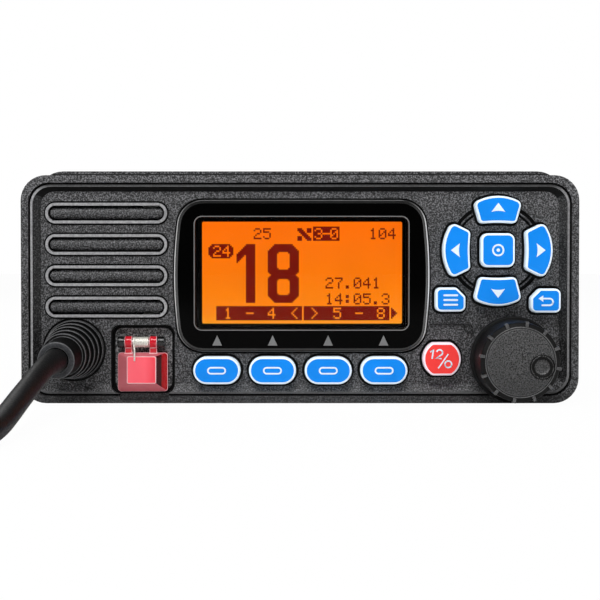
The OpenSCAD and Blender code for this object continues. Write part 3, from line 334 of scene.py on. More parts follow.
def multiplied(n, link, a, b):
    mixing = n.new("ShaderNodeMix")
    mixing.data_type = "RGBA"
    mixing.blend_type = "MULTIPLY"
    mixing.inputs["Factor"].default_value = 1
    link.new(a, mixing.inputs["A"])
    link.new(b, mixing.inputs["B"])
    return mixing.outputs["Result"]


# base colour that wanders between two tones, a roughness that wanders with it, and a fine raised grain.
# Grain and depth are in millimetres, and along multiplies the colour by tones along an axis, which paints
# light and shade in each finish that has it.
def grainyFinish(name, f):
    material, n, link, skin = newMaterial(name)
    grain = noiseNode(n, link, f.get("grain", 0.5), f.get("detail", 2.0), f.get("stretch"))
    low, high = f.get("spread", (0.38, 0.62))
    fleck = rampNode(n, link, grain, [(low, f["dark"]), (high, f["light"])])
    shade = rampNode(n, link, noiseNode(n, link, 22), [(0.3, 0.86), (0.7, 1.0)])
    tone = multiplied(n, link, fleck, shade)
    for axis, start, end, stops in f.get("along", []):
        tone = multiplied(n, link, tone, toneAlong(n, link, axis, start * mm, end * mm, stops))
    link.new(tone, skin.inputs["Base Color"])
    low, high = f["roughness"]
    link.new(rampNode(n, link, grain, [(0.35, low), (0.65, high)]), skin.inputs["Roughness"])
    setInputs(skin, {"Metallic": f.get("metallic", 0), "Specular IOR Level": f.get("specular", 0.5)})
    if "depth" in f:
        grainBump(n, link, skin, grain, f["depth"])
    return material


finishes = {
    # painted light and shade: the panel plastic is painted darker towards the bottom and lighter near the
    # top, and a painted black shadow line runs along the seam under the brow
    "panelPlastic": {"dark": (0.004, 0.004, 0.0045), "light": (0.2, 0.2, 0.21), "grain": 0.4, "depth": 0.2,
        "detail": 3.0, "spread": (0.45, 0.68), "roughness": (0.36, 0.55),
        "along": [("Z", 0, 65.4, [(0.0, 0.38), (0.035, 0.45), (0.05, 1.0), (0.85, 1.0), (0.95, 1.3)]),
                  ("Z", 65.4, 67, [(0.2, 1.0), (0.22, 0.03), (0.4, 0.03), (0.43, 1.0)])]},
    # painted shade tone for the side slopes of the sunken face
    "panelSlope": {"dark": 0.002, "light": (0.07, 0.07, 0.073), "grain": 0.4, "depth": 0.12,
        "spread": (0.46, 0.68), "roughness": (0.45, 0.6), "specular": 0.3},
    # lighter tone for the shaded recess floor, painted light
    "panelFloor": {"dark": (0.03, 0.03, 0.031), "light": (0.4, 0.4, 0.41), "grain": 0.42, "depth": 0.16,
        "spread": (0.43, 0.64), "roughness": (0.36, 0.5)},
    # painted highlight tone for the lip, painted darker along the bottom and the top and towards the right
    "panelLip": {"dark": (0.26, 0.26, 0.27), "light": (0.4, 0.4, 0.41), "grain": 0.6, "depth": 0.03,
        "roughness": (0.32, 0.42),
        "along": [("Z", 0, 65.4, [(0.03, 0.16), (0.07, 0.4), (0.14, 0.9), (0.93, 1.0), (0.955, 0.13)]),
                  ("X", -80, 80, [(0.3, 1.0), (0.75, 0.8), (1.0, 0.6)])]},
    # painted highlight tone for the slot rings
    "slotRing": {"dark": (0.26, 0.26, 0.27), "light": (0.4, 0.4, 0.41), "grain": 0.6, "depth": 0.03,
        "roughness": (0.32, 0.42)},
    "displayEdge": {"dark": 0.0006, "light": 0.0014, "grain": 0.6, "roughness": (0.6, 0.7), "specular": 0.04},
    "bossBlack": {"dark": 0.002, "light": 0.006, "depth": 0.01, "roughness": (0.22, 0.3), "specular": 0.6},
    # lighter, shinier tone for rounded edges: a painted highlight with a smoother skin
    "panelEdge": {"dark": (0.05, 0.05, 0.052), "light": (0.12, 0.12, 0.125), "depth": 0.04,
        "roughness": (0.3, 0.4), "specular": 0.6},
    # near-black painted shade for the grooves, gaps, holes and downward slopes of the panel
    "panelGap": {"dark": (0.0015, 0.0015, 0.0016), "light": 0.004, "depth": 0.04, "roughness": (0.6, 0.7),
        "specular": 0.15},
    "castPaint": {"dark": (0.011, 0.011, 0.012), "light": (0.026, 0.026, 0.028), "depth": 0.12,
        "roughness": (0.42, 0.6)},
    "lidPaint": {"dark": (0.012, 0.012, 0.013), "light": (0.024, 0.024, 0.026), "grain": 0.34,
        "depth": 0.06, "roughness": (0.4, 0.55)},
    # the knob's face is painted darker towards the bottom and lighter towards the top, as painted light
    "knobPlastic": {"dark": 0.003, "light": (0.11, 0.11, 0.112), "grain": 0.36, "depth": 0.12,
        "detail": 3.0, "spread": (0.42, 0.64), "roughness": (0.26, 0.4), "specular": 0.6,
        "along": [("Z", 0, 25, [(0.1, 0.5), (0.5, 0.85), (0.8, 1.1)])]},
    # near-black painted shade for the knob's side, chamfer, groove and the ring round its dimple
    "knobSide": {"dark": 0.0015, "light": 0.004, "grain": 0.42, "depth": 0.04, "roughness": (0.5, 0.6),
        "specular": 0.16},
    # lighter painted highlight for the edges round the knob's disc and its grip blocks
    "knobEdge": {"dark": (0.045, 0.045, 0.046), "light": (0.09, 0.09, 0.092), "grain": 0.42, "depth": 0.03,
        "roughness": (0.3, 0.4), "specular": 0.6},
    "micPlastic": {"dark": (0.018, 0.018, 0.02), "light": (0.045, 0.045, 0.048), "grain": 0.4,
        "depth": 0.09, "roughness": (0.38, 0.55)},
    "rubberJacket": {"dark": (0.0018, 0.0018, 0.002), "light": (0.0055, 0.0055, 0.006), "grain": 0.6,
        "depth": 0.05, "roughness": (0.44, 0.56), "specular": 0.12},
    # rubber darkened to near black, painted shade on the boots
    "bootRubber": {"dark": 0.0006, "light": 0.0018, "grain": 0.4, "depth": 0.04, "roughness": (0.4, 0.5),
        "specular": 0.05},
    # lighter copy of the boot rubber for the front tip, painted light
    "bootTip": {"dark": (0.022, 0.023, 0.026), "light": (0.045, 0.047, 0.052), "depth": 0.04,
        "roughness": (0.5, 0.6), "specular": 0.4},
    # painted highlight for the rounded edges of the boot's ribs
    "bootEdge": {"dark": (0.07, 0.071, 0.074), "light": (0.13, 0.132, 0.136), "depth": 0.02,
        "roughness": (0.35, 0.45)},
    "gasketRubber": {"dark": 0.008, "light": 0.016, "depth": 0.04, "roughness": (0.6, 0.75)},
    "keyRubber": {"dark": (0.02, 0.02, 0.021), "light": (0.032, 0.032, 0.034), "grain": 0.35,
        "depth": 0.03, "roughness": (0.45, 0.6)},
    # steel wire lightened to a pale cream and made half diffuse so that it reads bright all round, a painted
    # highlight
    "springWire": {"dark": (0.78, 0.76, 0.7), "light": (0.95, 0.93, 0.86), "depth": 0.004,
        "roughness": (0.38, 0.46), "specular": 0.7, "metallic": 0.55},
    "steel": {"dark": (0.42, 0.42, 0.43), "light": (0.66, 0.66, 0.68), "grain": 0.7, "depth": 0.006,
        "roughness": (0.2, 0.36), "metallic": 1, "stretch": (1, 8, 1)},
    "blackSteel": {"dark": (0.02, 0.02, 0.021), "light": (0.045, 0.045, 0.047), "depth": 0.01,
        "roughness": (0.3, 0.42), "metallic": 0.6},
    "nickel": {"dark": (0.5, 0.49, 0.46), "light": (0.72, 0.7, 0.66), "grain": 0.9, "depth": 0.004,
        "roughness": (0.16, 0.28), "metallic": 1},
    "insulator": {"dark": (0.7, 0.69, 0.66), "light": (0.82, 0.81, 0.78), "grain": 0.8, "depth": 0.01,
        "roughness": (0.45, 0.55)},
    "boardLacquer": {"dark": (0.006, 0.05, 0.02), "light": (0.012, 0.09, 0.035), "grain": 1.6,
        "depth": 0.02, "roughness": (0.25, 0.4)},
    "silicone": {"dark": (0.5, 0.5, 0.48), "light": (0.62, 0.62, 0.6), "grain": 0.9, "depth": 0.01,
        "roughness": (0.5, 0.6)},
    "ribbonFilm": {"dark": (0.55, 0.48, 0.36), "light": (0.7, 0.62, 0.5), "grain": 1.0,
        "roughness": (0.3, 0.45), "stretch": (1, 0.05, 0.05)},
    "blackPaper": {"dark": 0.006, "light": 0.014, "depth": 0.05, "roughness": (0.7, 0.85)},
}
made = {name: grainyFinish(name, f) for name, f in finishes.items()}


# moulded key caps: a clean saturated colour with a soft satin skin and a painted glow
def keyFinish(name, color, roughness, paintedGlow):
    material, n, link, skin = newMaterial(name)
    darker = tuple(c * 0.93 for c in color)
    tone = rampNode(n, link, noiseNode(n, link, 9, 2), [(0.35, darker), (0.65, color)])
    link.new(tone, skin.inputs["Base Color"])
    grainBump(n, link, skin, noiseNode(n, link, 0.3, 2), 0.008)
    setInputs(skin, {"Roughness": roughness, "Specular IOR Level": 0.22,
                     "Emission Color": (*color, 1), "Emission Strength": paintedGlow})
    return material


# colour, roughness and painted glow of each
keyColors = {
    "keyBlue": ((0.001, 0.235, 0.82), 0.38, 0.1), "keyRed": ((0.92, 0.05, 0.045), 0.38, 0.1),
    "keyPale": ((0.8, 0.91, 1.0), 0.45, 0.14), "keyPaleWarm": ((1.0, 0.84, 0.92), 0.45, 0.12),
    "keyLegend": ((0.76, 0.87, 0.97), 0.5, 0.06), "distressRed": ((0.9, 0.045, 0.06), 0.4, 0.12),
}
for colorName, (color, roughness, paintedGlow) in keyColors.items():
    made[colorName] = keyFinish(colorName, color, roughness, paintedGlow)


# a smooth skin whose roughness is smeared over marks of that many millimetres
def smearedFinish(name, size, detail, stops, values):
    material, n, link, skin = newMaterial(name)
    link.new(rampNode(n, link, noiseNode(n, link, size, detail), stops), skin.inputs["Roughness"])
    setInputs(skin, values)
    return material, n, link, skin


# rounded rim of the pane, with a painted highlight that lightens its colour towards its ends
def paneHighlightFinish(name, stops):
    material, n, link, skin = smearedFinish(name, 5, 3, [(0.3, 0.08), (0.75, 0.16)],
                                            {"Specular IOR Level": 0.5})
    sides = toneAlong(n, link, "X", 31 * mm, 37 * mm, stops, both=True)
    link.new(sides, skin.inputs["Base Color"])
    return material


def windowPrint():
    material, n, link, skin = newMaterial("windowPrint")
    tone = rampNode(n, link, noiseNode(n, link, 6), [(0.3, 0.15), (0.7, 0.19)])
    link.new(tone, skin.inputs["Base Color"])
    skin.inputs["Roughness"].default_value = 0.3
    return material


made["glossBlack"] = smearedFinish("glossBlack", 18, 4, [(0.3, 0.05), (0.75, 0.09)], {
    "Base Color": (0.0006, 0.0006, 0.0006, 1), "Specular IOR Level": 0.035})[0]
made["paneEdge"] = paneHighlightFinish("paneEdge", [(0.0, 0.012), (0.6, 0.04), (1.0, 0.11)])
made["paneRim"] = paneHighlightFinish("paneRim", [(0.0, 0.02), (0.6, 0.16), (1.0, 0.85)])
made["clearPane"] = smearedFinish("clearPane", 14, 4, [(0.3, 0.0), (0.8, 0.015)], {
    "Base Color": (0.985, 0.985, 0.985, 1), "Transmission Weight": 1, "IOR": 1.12})[0]
made["windowPrint"] = windowPrint()
print("materials made:", len(made))


# the cord: one route from the boot to the curl, the curl, and on to the microphone
cordFacts = {
    "diameter": 5.6 * mm,
    "curlDiameter": 18 * mm,
    "curlPitch": 6.3 * mm,
    "perTurn": 16,
    "sleeve": 1.18,                 # swell of the cord where it leaves the boot
    "sleeveLength": 16 * mm,
    # the route's points, in millimetres
    "toCurl": [[-65.85, -88.5, 13.9], [-66.1, -100.5, 13.2], [-66.3, -112, 11.7], [-66.6, -122.5, 9.7],
               [-66.9, -134, 7.6], [-67.2, -146, 5.3], [-67.6, -156, 3.6], [-68.4, -166, 2.8],
               [-70.9, -177, 2.8], [-76.5, -186.5, 2.8], [-85.7, -192.5, 2.8], [-96, -193, 2.8],
               [-106, -188, 2.8], [-113.5, -179, 2.8], [-118, -168, 2.8], [-120, -158, 2.8],
               [-120, -150, 2.8]],
    "toMic": [[-120, 20, 2.8], [-120, 29, 2.8], [-122.5, 39.5, 2.8], [-129, 48, 2.8], [-138.5, 52.5, 2.8],
              [-149, 51.5, 2.8], [-158, 45.5, 2.8], [-163.5, 36, 4.4], [-165, 25, 7.7], [-165, 14.5, 10.5]],
}


# turns of the curl, wound in and out of the straight ends over one turn each
def curlPoints(c):
    start, end = Vector(c["toCurl"][-1]) * mm, Vector(c["toMic"][0]) * mm
    full = c["curlDiameter"] / 2 - c["diameter"] / 2 - 0.05 * mm
    turns = round((end.y - start.y) / c["curlPitch"])
    steps = turns * c["perTurn"]
    out = []
    for i in range(1, steps):
        angle = 2 * math.pi * i / c["perTurn"]
        ease = min(1, i / c["perTurn"], (steps - i) / c["perTurn"])
        r = full * (0.35 + 0.65 * ease * ease * (3 - 2 * ease))
        out.append(Vector((start.x + r * math.sin(angle),
                           start.y + (end.y - start.y) * i / steps,
                           start.z + r * (1 - math.cos(angle)))))
    return out


def makeCord(c):
    first = smoothLine([[v * mm for v in p] for p in c["toCurl"]], 3)
    last = smoothLine([[v * mm for v in p] for p in c["toMic"]], 3)
    points = first + curlPoints(c) + last
    spans = [(b - a).length for a, b in zip(points, points[1:])]
    radii, run = [], 0
    for span in [0] + spans:
        run += span
        rest = max(0, 1 - run / c["sleeveLength"])
        radii.append(1 + (c["sleeve"] - 1) * rest)
    cord = tubeObject("micCord", points, c["diameter"] / 2, "radio", made["rubberJacket"],
                      radii)
    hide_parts("mic_cord", "mic_cord_curl", "mic_cord_tail")
    print("cord made:", round(sum(spans), 3), "m")


makeCord(cordFacts)


# CAD nodes that keep their shape: fine rounded edges and a finish of their own
def finishNode(name, material, width=0.2, edge=None, angle=32):
    thing = nodes[name]
    for i in range(len(thing.data.materials)):
        thing.data.materials[i] = made[material]
    if not len(thing.data.materials):
        thing.data.materials.append(made[material])
    for face in thing.data.polygons:
        face.use_smooth = True
    if not width:
        return thing
    join = thing.modifiers.new("join", "WELD")
    join.merge_threshold = 0.002 * mm
    flats = thing.modifiers.new("flats", "DECIMATE")
    flats.decimate_type = "DISSOLVE"
    flats.angle_limit = math.radians(1.5)
    flats.delimit = {"MATERIAL"}
    soften(thing, width, 2, angle)
    if edge:
        thing.data.materials.append(made[edge])
        thing.modifiers["edges"].material = len(thing.data.materials) - 1
    return thing


# nodes by their finish and the width of their rounded edges in millimetres
plainNodes = {
    ("blackPaper", 0): "speaker_mesh speaker_foam speaker_cone",
    ("steel", 0): "speaker_frame cover_pin",
    ("steel", 0.4): "speaker_magnet",
    ("displayEdge", 0): "window_gasket backlight_frame",
    ("silicone", 0): "keypad_mat",
    ("boardLacquer", 0): "front_board main_board",
    ("distressRed", 0.3): "distress_key",
    ("steel", 0.2): "knob_shaft mic_capsule",
    ("steel", 0.15): "encoder_body shield_can",
    ("insulator", 0.2): "push_plunger",
    ("gasketRubber", 0): "front_gasket",
    ("castPaint", 0.4): "chassis",
    ("lidPaint", 0.2): "chassis_lid",
    ("blackSteel", 0.12): "lid_screws",
    ("steel", 0.12): "panel_screws board_screws socket_screws mic_screws",
    ("steel", 0.3): "rf_module",
    ("ribbonFilm", 0): "ribbon_cable",
    ("nickel", 0.2): "antenna_socket",
    ("insulator", 0.15): "antenna_insulator",
    ("gasketRubber", 0.25): "power_grommet data_grommet",
    ("bootRubber", 0.25): "mic_boot",
    ("steel", 0.25): "mic_hang_stud",
    ("micPlastic", 0.6): "mic_front_shell mic_back_shell",
    ("keyRubber", 0.3): "ptt_key mic_key_up mic_key_down",
}
for (finish, edge), names in plainNodes.items():
    for nodeName in names.split():
        finishNode(nodeName, finish, edge)
print("CAD nodes finished")

# the panel's raised lip and slot rings are painted a little lighter as highlights, its grooves, gaps, holes,
# downward slopes and the seam under the brow are painted black as shade, its side slopes take a darker
# painted shade and its recess floor a lighter painted light
panelTones = {"cornerX": 72.8, "cornerZ": 25.5, "middle": 32.7, "inside": 6.4, "lip": 0.25,
              "raised": (1.15, 1.25), "gap": (1.95, 4.7), "floor": 2.2, "leader": (1.27, 1.33), "brow": 65.4,
              "groove": (1.0, 1.15), "recess": (4.2, 4.4), "hinge": (17.5, 1.75)}


# true at the rail, outside a rounded outline of the sunken face
def onRail(p, u, v):
    past = max(abs(u) - p["cornerX"], 0), max(abs(v - p["middle"]) - p["cornerZ"], 0)
    return math.hypot(*past) > p["inside"]


def makePanel(p):
    # the rounded edges take the painted highlight tone
    panel = finishNode("front_panel", "panelPlastic", 0.2, "panelEdge")
    tones = ("panelLip", "slotRing", "panelGap", "panelSlope", "panelFloor", "bossBlack")
    for tone in tones:
        panel.data.materials.append(made[tone])
    count = len(panel.data.materials)
    lip, ring, gap, slope, floor, boss = range(count - len(tones), count)
    pinLow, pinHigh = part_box("cover_pin")
    for face in panel.data.polygons:
        u, v, t = face.center.x / mm, face.center.z / mm, (face.center.y - railY) / mm
        front, wall = face.normal.y < -0.95, abs(face.normal.y) < 0.3
        # the seam under the brow is painted black as its shadow
        if v > p["brow"] - 2 and (5.4 < t < 5.6 and front or 5.05 < t < 5.45):
            face.material_index = gap
            continue
        if onRail(p, u, v):
            continue
        alongPin = pinLow.x - 0.2 * mm < face.center.x < pinHigh.x + 0.2 * mm
        atHinge = alongPin and abs(v - p["hinge"][0]) < p["hinge"][1]
        if atHinge and t < p["gap"][1] and (t > 2 or t < 1.79 or not front):
            face.material_index = boss
        # the recess floor takes the lighter painted-light tone
        elif front and p["recess"][0] < t < p["recess"][1]:
            face.material_index = floor
        # the raised leader line's front takes the same darker tone
        elif front and p["leader"][0] < t < p["leader"][1]:
            face.material_index = slope
        # slopes that face down are painted black and side slopes darker, as painted shade; slopes that face
        # up keep the plain plastic
        elif 0.3 < t < 1.78 and 0.3 < -face.normal.y < 0.95:
            face.material_index = gap if face.normal.z < -0.3 else slope if face.normal.z < 0.3 else 0
        # the lip and the slot rings take the painted highlight tones
        elif front and (abs(t - p["lip"]) < 0.05 or p["raised"][0] < t < p["raised"][1]):
            face.material_index = lip if t < 1 else ring
        # walls and floors of the holes and gaps sunk below the face are painted black as shade
        elif p["gap"][0] < t < p["gap"][1] and (wall or (front and t > p["floor"])):
            face.material_index = gap
        # the floor and walls of the groove inside the rail are painted black as shade
        elif front and p["groove"][0] < t < p["groove"][1] or wall and t < 0.7:
            face.material_index = gap
    print("panel toned")


makePanel(panelTones)


# front keys, lofted over the outlines of their nodes
keyShape = {"count": 120, "rim": 0.75, "capT": -2.2, "baseT": 4.5, "flangeT": 5.2, "skirtT": 1.9,
            "flange": 0.9, "crown": 0.12, "legend": 0.05}


def keyMesh(node, k):
    outline = grown(evenLoop(grown(loopOf(node), 0), k["count"]), k["rim"] * mm)
    mesh = bmesh.new()
    top, base, out = k["capT"], k["baseT"], k["flange"]
    # the flange and the skirt below the face take the black gasket rubber, painted shade in the narrow gap
    # round each key
    loft(mesh, outline, [
        (out, k["flangeT"], 3), (out, base, 3), (0, base, 3), (0, k["skirtT"], 3), (0, top + 0.9, 0),
        (-0.04, top + 0.5, 0), (-0.12, top + 0.25, 0), (-0.28, top + 0.08, 0), (-0.45, top + 0.02, 0),
        (-0.6, top + 0.02, 0), (-0.64, top, 1), (-0.85, top - 0.01, 1)], crown=k["crown"])
    return mesh


# points in millimetres from a key's middle, as places on the front
def around(mid, points):
    return [(mid[0] + u * mm, mid[1] + v * mm) for u, v in points]


# points up before the turn, with a base that curves in
def triangleLegend(w, h, turn, hollow=0.12, steps=6):
    points = [(-w / 2 + w * i / steps, -h / 2 + hollow * h * 4 * (i / steps) * (1 - i / steps))
              for i in range(steps + 1)]
    points.append((0, h / 2))
    a = math.radians(turn)
    return [(u * math.cos(a) - v * math.sin(a), u * math.sin(a) + v * math.cos(a)) for u, v in points]


# a flat line of one width along the points, in millimetres from the middle
def strokeLegend(mesh, mid, points, width, t, depth, closed=False):
    points = [Vector(p) for p in around(mid, points)]
    n = len(points)
    left, right = [], []
    for i, p in enumerate(points):
        a = points[(i - 1) % n] if closed or i else p
        b = points[(i + 1) % n] if closed or i < n - 1 else p
        run = (b - a).normalized()
        side = Vector((-run.y, run.x)) * width * mm / 2
        left.append(p + side)
        right.append(p - side)
    for i in range(n if closed else n - 1):
        j = (i + 1) % n
        addPrism(mesh, [right[i], right[j], left[j], left[i]], t, t - depth, 2)


def arcPoints(midU, midV, r, start, end, steps=16):
    angles = [math.radians(start + (end - start) * i / steps) for i in range(steps + 1)]
    return [(midU + r * math.cos(a), midV + r * math.sin(a)) for a in angles]


def middleOf(node):
    low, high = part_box(node)
    return (low.x + high.x) / 2, (low.z + high.z) / 2


# the sign on one key, raised from its cap
def addLegend(mesh, node, k):
    cap = k["capT"] - 0.02 - k["crown"] * 0.8
    top = cap - k["legend"]
    mid = middleOf(node)
    padX, padZ = middleOf("key_ok")
    arrows = {"key_up": (0, 12.2, 0), "key_down": (0, -12.3, 180), "key_left": (-12.2, 0, 90),
              "key_right": (12.2, 0, 270)}
    if node.startswith("soft_key_"):
        addRing(mesh, roundedLoop(*mid, 5.4 * mm, 2.15 * mm, 1.07 * mm),
                roundedLoop(*mid, 4.5 * mm, 1.25 * mm, 0.62 * mm), cap + 0.02, top, 2)
    elif node in arrows:
        across, up, turn = arrows[node]
        points = around((padX + across * mm, padZ + up * mm), triangleLegend(4.0, 2.6, turn))
        addPrism(mesh, points, cap + 0.04, top, 2)
    elif node == "key_ok":
        addRing(mesh, circleLoop(*mid, 1.75 * mm), circleLoop(*mid, 1.25 * mm), cap + 0.02, top, 2)
        addPrism(mesh, circleLoop(*mid, 0.5 * mm, 20), cap + 0.02, top, 2)
    elif node == "key_menu":
        for step in (-1.45, -0.1, 1.25):
            bar = roundedLoop(mid[0], mid[1] + step * mm, 4.2 * mm, 0.55 * mm, 0.25 * mm)
            addPrism(mesh, bar, cap + 0.04, top, 2)
    elif node == "key_back":
        turn = [(-0.8, 0.6)] + arcPoints(1.0, -0.35, 0.95, 90, -90) + [(-1.3, -1.3)]
        strokeLegend(mesh, mid, turn, 0.5, cap + 0.03, k["legend"] + 0.03)
        head = around((mid[0] - 1.5 * mm, mid[1] + 0.6 * mm), triangleLegend(1.9, 1.4, 90, hollow=0))
        addPrism(mesh, head, cap + 0.03, top, 2)
    elif node == "key_channel":
        # a plain number, a stroke and a small ring
        lift = (cap + 0.04, k["legend"] + 0.04)
        two = arcPoints(-0.75, 1.85, 0.85, 165, -35, 12) + [(-1.9, 0.15), (-0.2, 0.15)]
        strokeLegend(mesh, mid, [(-3.4, 2.0), (-2.5, 2.8), (-2.9, 0.1)], 0.45, *lift)
        strokeLegend(mesh, mid, two, 0.45, *lift)
        strokeLegend(mesh, mid, [(1.75, 1.5), (-1.1, -2.6)], 0.35, *lift)
        strokeLegend(mesh, mid, arcPoints(1.75, -1.45, 0.95, 0, 345, 20), 0.42, *lift, closed=True)


def makeKeys(k):
    pieces = [n for n in nodes if n.startswith("key_") or n.startswith("soft_key_")]
    for node in pieces:
        mesh = keyMesh(node, k)
        addLegend(mesh, node, k)
        border, cap = ("keyPaleWarm", "keyRed") if node == "key_channel" else ("keyPale", "keyBlue")
        key = finishMesh(node.replace("_", "") + "Cap", mesh, node,
                         [made[border], made[cap], made["keyLegend"], made["gasketRubber"]])
        soften(key, 0.03, 1, 60)
        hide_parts(node)
    print("keys made:", len(pieces))


makeKeys(keyShape)


# display: glossy pane with its clear opening, the lit dot display behind it
display = {"count": 160, "midX": 0.45 * mm, "midZ": 37.3 * mm, "openW": 61.2 * mm, "openH": 32.2 * mm,
           "frontT": 0.9, "backT": 2.6, "frameW": 61.7 * mm, "frameH": 32.7 * mm, "frameLine": 0.26 * mm,
           "litX": 0.6 * mm, "litZ": 37.46 * mm, "litW": 57.9 * mm, "litH": 29.5 * mm, "litT": 4.7,
           "cols": 128, "rows": 64, "dot": 1.0, "arrowW": 2.75 * mm, "arrowH": 2.95 * mm, "arrowZ": 18.0 * mm}


def makeWindow(d):
    outline = evenLoop(loopOf("display_window"), d["count"])
    mesh = bmesh.new()
    # the rounded rim takes the rim tone and the front border band the edge tone, both with painted highlights
    # towards the ends
    rings = loft(mesh, outline, [
        (0, d["backT"], 0), (0, 1.3, 0), (-0.05, 1.12, 2), (-0.2, 1.0, 2), (-0.36, 0.96, 2), (-0.5, 1.02, 0),
        (-0.62, 0.95, 1), (-1.05, d["frontT"], 1)], frontCap=False, backCap=False)
    opening = roundedLoop(d["midX"], d["midZ"], d["openW"], d["openH"], 1.8 * mm)
    front, back = ([mesh.verts.new(onFront(p.x, p.y, t)) for p in opening] for t in (d["frontT"], d["backT"]))
    bridge(mesh, front, back, 0)
    fillBetween(mesh, rings[-1], front, 0)
    fillBetween(mesh, rings[0], back, 0)
    window = finishMesh("windowPane", mesh, "radio",
                        [made["glossBlack"], made["paneEdge"], made["paneRim"]])
    soften(window, 0.02, 1, 50)
    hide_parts("display_window")

    mesh = bmesh.new()
    inner = [p.lerp(Vector((d["midX"], d["midZ"])), 0.002) for p in opening]
    addPrism(mesh, inner, d["frontT"] + 0.9, d["frontT"] + 0.02, 0)
    finishMesh("windowClear", mesh, "radio", [made["clearPane"]], flat=True)

    # printed line and pointers on the pane
    mesh = bmesh.new()
    under, over = d["frontT"] + 0.01, d["frontT"] - 0.02
    outer, inner = (roundedLoop(d["midX"], d["midZ"], d["frameW"] + by, d["frameH"] + by, r)
                    for by, r in ((d["frameLine"], 2.3 * mm), (-d["frameLine"], 2.1 * mm)))
    addRing(mesh, outer, inner, under, over, 0)
    half, rise = d["arrowW"] / 2, d["arrowH"] / 2
    for i in range(4):
        u = middleOf("soft_key_%d" % (i + 1))[0]
        corners = [(u - half, d["arrowZ"] - rise), (u + half, d["arrowZ"] - rise), (u, d["arrowZ"] + rise)]
        addPrism(mesh, corners, under, over, 0)
    finishMesh("windowMarks", mesh, "radio", [made["windowPrint"]], flat=True)


# a display tone that gives its own light
def litFinish(name, base, roughness):
    material, n, link, skin = newMaterial(name)
    setInputs(skin, {"Emission Strength": 1, "Base Color": (*base, 1), "Roughness": roughness,
                     "Specular IOR Level": 0.1})
    return material, n, link, skin


# backlit orange, brighter towards the lower edge
def litOrange(d):
    material, n, link, skin = litFinish("litOrange", (0.02, 0.004, 0.0), 0.4)
    tone = toneAlong(n, link, "Z", d["litZ"] - d["litH"] / 2, d["litZ"] + d["litH"] / 2, [
        (0.0, (1.0, 0.34, 0.012)), (0.1, (1.0, 0.25, 0.003)),
        (0.5, (1.0, 0.195, 0.0)), (1.0, (1.0, 0.16, 0.0))])
    shade = rampNode(n, link, noiseNode(n, link, 16, 1), [(0.3, 0.93), (0.65, 1.0)])
    link.new(multiplied(n, link, tone, shade), skin.inputs["Emission Color"])
    return material


def displayInk():
    material, n, link, skin = litFinish("displayInk", (0.01, 0.001, 0.0), 0.5)
    tone = rampNode(n, link, noiseNode(n, link, 3), [
        (0.3, (0.15, 0.003, 0.0002)), (0.7, (0.185, 0.0045, 0.0004))])
    link.new(tone, skin.inputs["Emission Color"])
    return material


# figures and signs of five by seven dots, row by row from the top
dotFigures = {
    "0": "01110 10001 10011 10101 11001 10001 01110", "1": "00100 01100 00100 00100 00100 00100 01110",
    "2": "01110 10001 00001 00110 01000 10000 11111", "3": "01110 10001 00001 00110 00001 10001 01110",
    "4": "00010 00110 01010 10010 11111 00010 00010", "5": "11111 10000 11110 00001 00001 10001 01110",
    "7": "11111 00001 00010 00100 00100 00100 00100", "8": "01110 10001 10001 01110 10001 10001 01110",
    "-": "00000 00000 00000 11111 00000 00000 00000", ".": "00000 00000 00000 00000 00000 01100 01100",
    ":": "00000 01100 01100 00000 01100 01100 00000", " ": "00000 00000 00000 00000 00000 00000 00000",
    ">": "10000 01000 00100 00010 00100 01000 10000", "<": "00001 00010 00100 01000 00100 00010 00001",
}


def figureDots(text, col, row, pitch=6):
    dots = set()
    for k, sign in enumerate(text):
        for r, line in enumerate(dotFigures[sign].split()):
            dots |= {(col + k * pitch + c, row + r) for c, on in enumerate(line) if on == "1"}
    return dots


# a filled box, with its corners cut off by that many dots
def boxDots(col, row, w, h, cut=0):
    return {(col + c, row + r) for c in range(w) for r in range(h)
            if min(c, w - 1 - c) + min(r, h - 1 - r) >= cut}


# the channel number in heavy figures: a one with a flag, and an eight of two rings
def heavyNumber(col, row):
    h, stroke, w, waist = 37, 6, 20, 17
    right, hole = col + 20, col + 20 + stroke
    dots = boxDots(col + 6, row, stroke, h)
    dots |= {(col + c, row + r) for c in range(7) for r in range(12) if 6 <= c + r <= 11}
    dots |= boxDots(right, row, w, waist + 5, 4) | boxDots(right, row + waist, w, h - waist, 4) - boxDots(
        hole, row + waist + stroke - 1, w - 2 * stroke, h - waist - 2 * stroke + 2, 1)
    return dots - boxDots(hole, row + stroke - 1, w - 2 * stroke, waist - 6, 1)


def displayDots():
    dots = figureDots("25", 33, 4)
    dots |= heavyNumber(22, 14)
    dots |= boxDots(4, 14, 16, 9, 2) - figureDots("24", 7, 15)
    # a small sign of two dishes and a bar, and a dark field with a number
    dots |= {(61 + c, 4 + r) for c in range(9) for r in range(8)
             if abs(c - r - 0.5) < 1.6 or (c > 5 and r < 3) or (c < 3 and r > 4)}
    dots |= boxDots(71, 3, 17, 9) - figureDots("3-0", 72, 4, 5)
    dots |= figureDots("104", 107, 4)
    dots |= figureDots("27.041", 79, 35)
    dots |= figureDots("14:05.3", 79, 45)
    dots |= boxDots(9, 53, 55, 9) - figureDots("1 - 4 <", 14, 54, 7)
    dots |= boxDots(65, 53, 55, 9) - figureDots("> 5 - 8", 70, 54, 7)
    dots |= {(121 + c, 57 + r) for c in range(4) for r in range(-3, 4) if abs(r) <= 3 - c}
    return dots


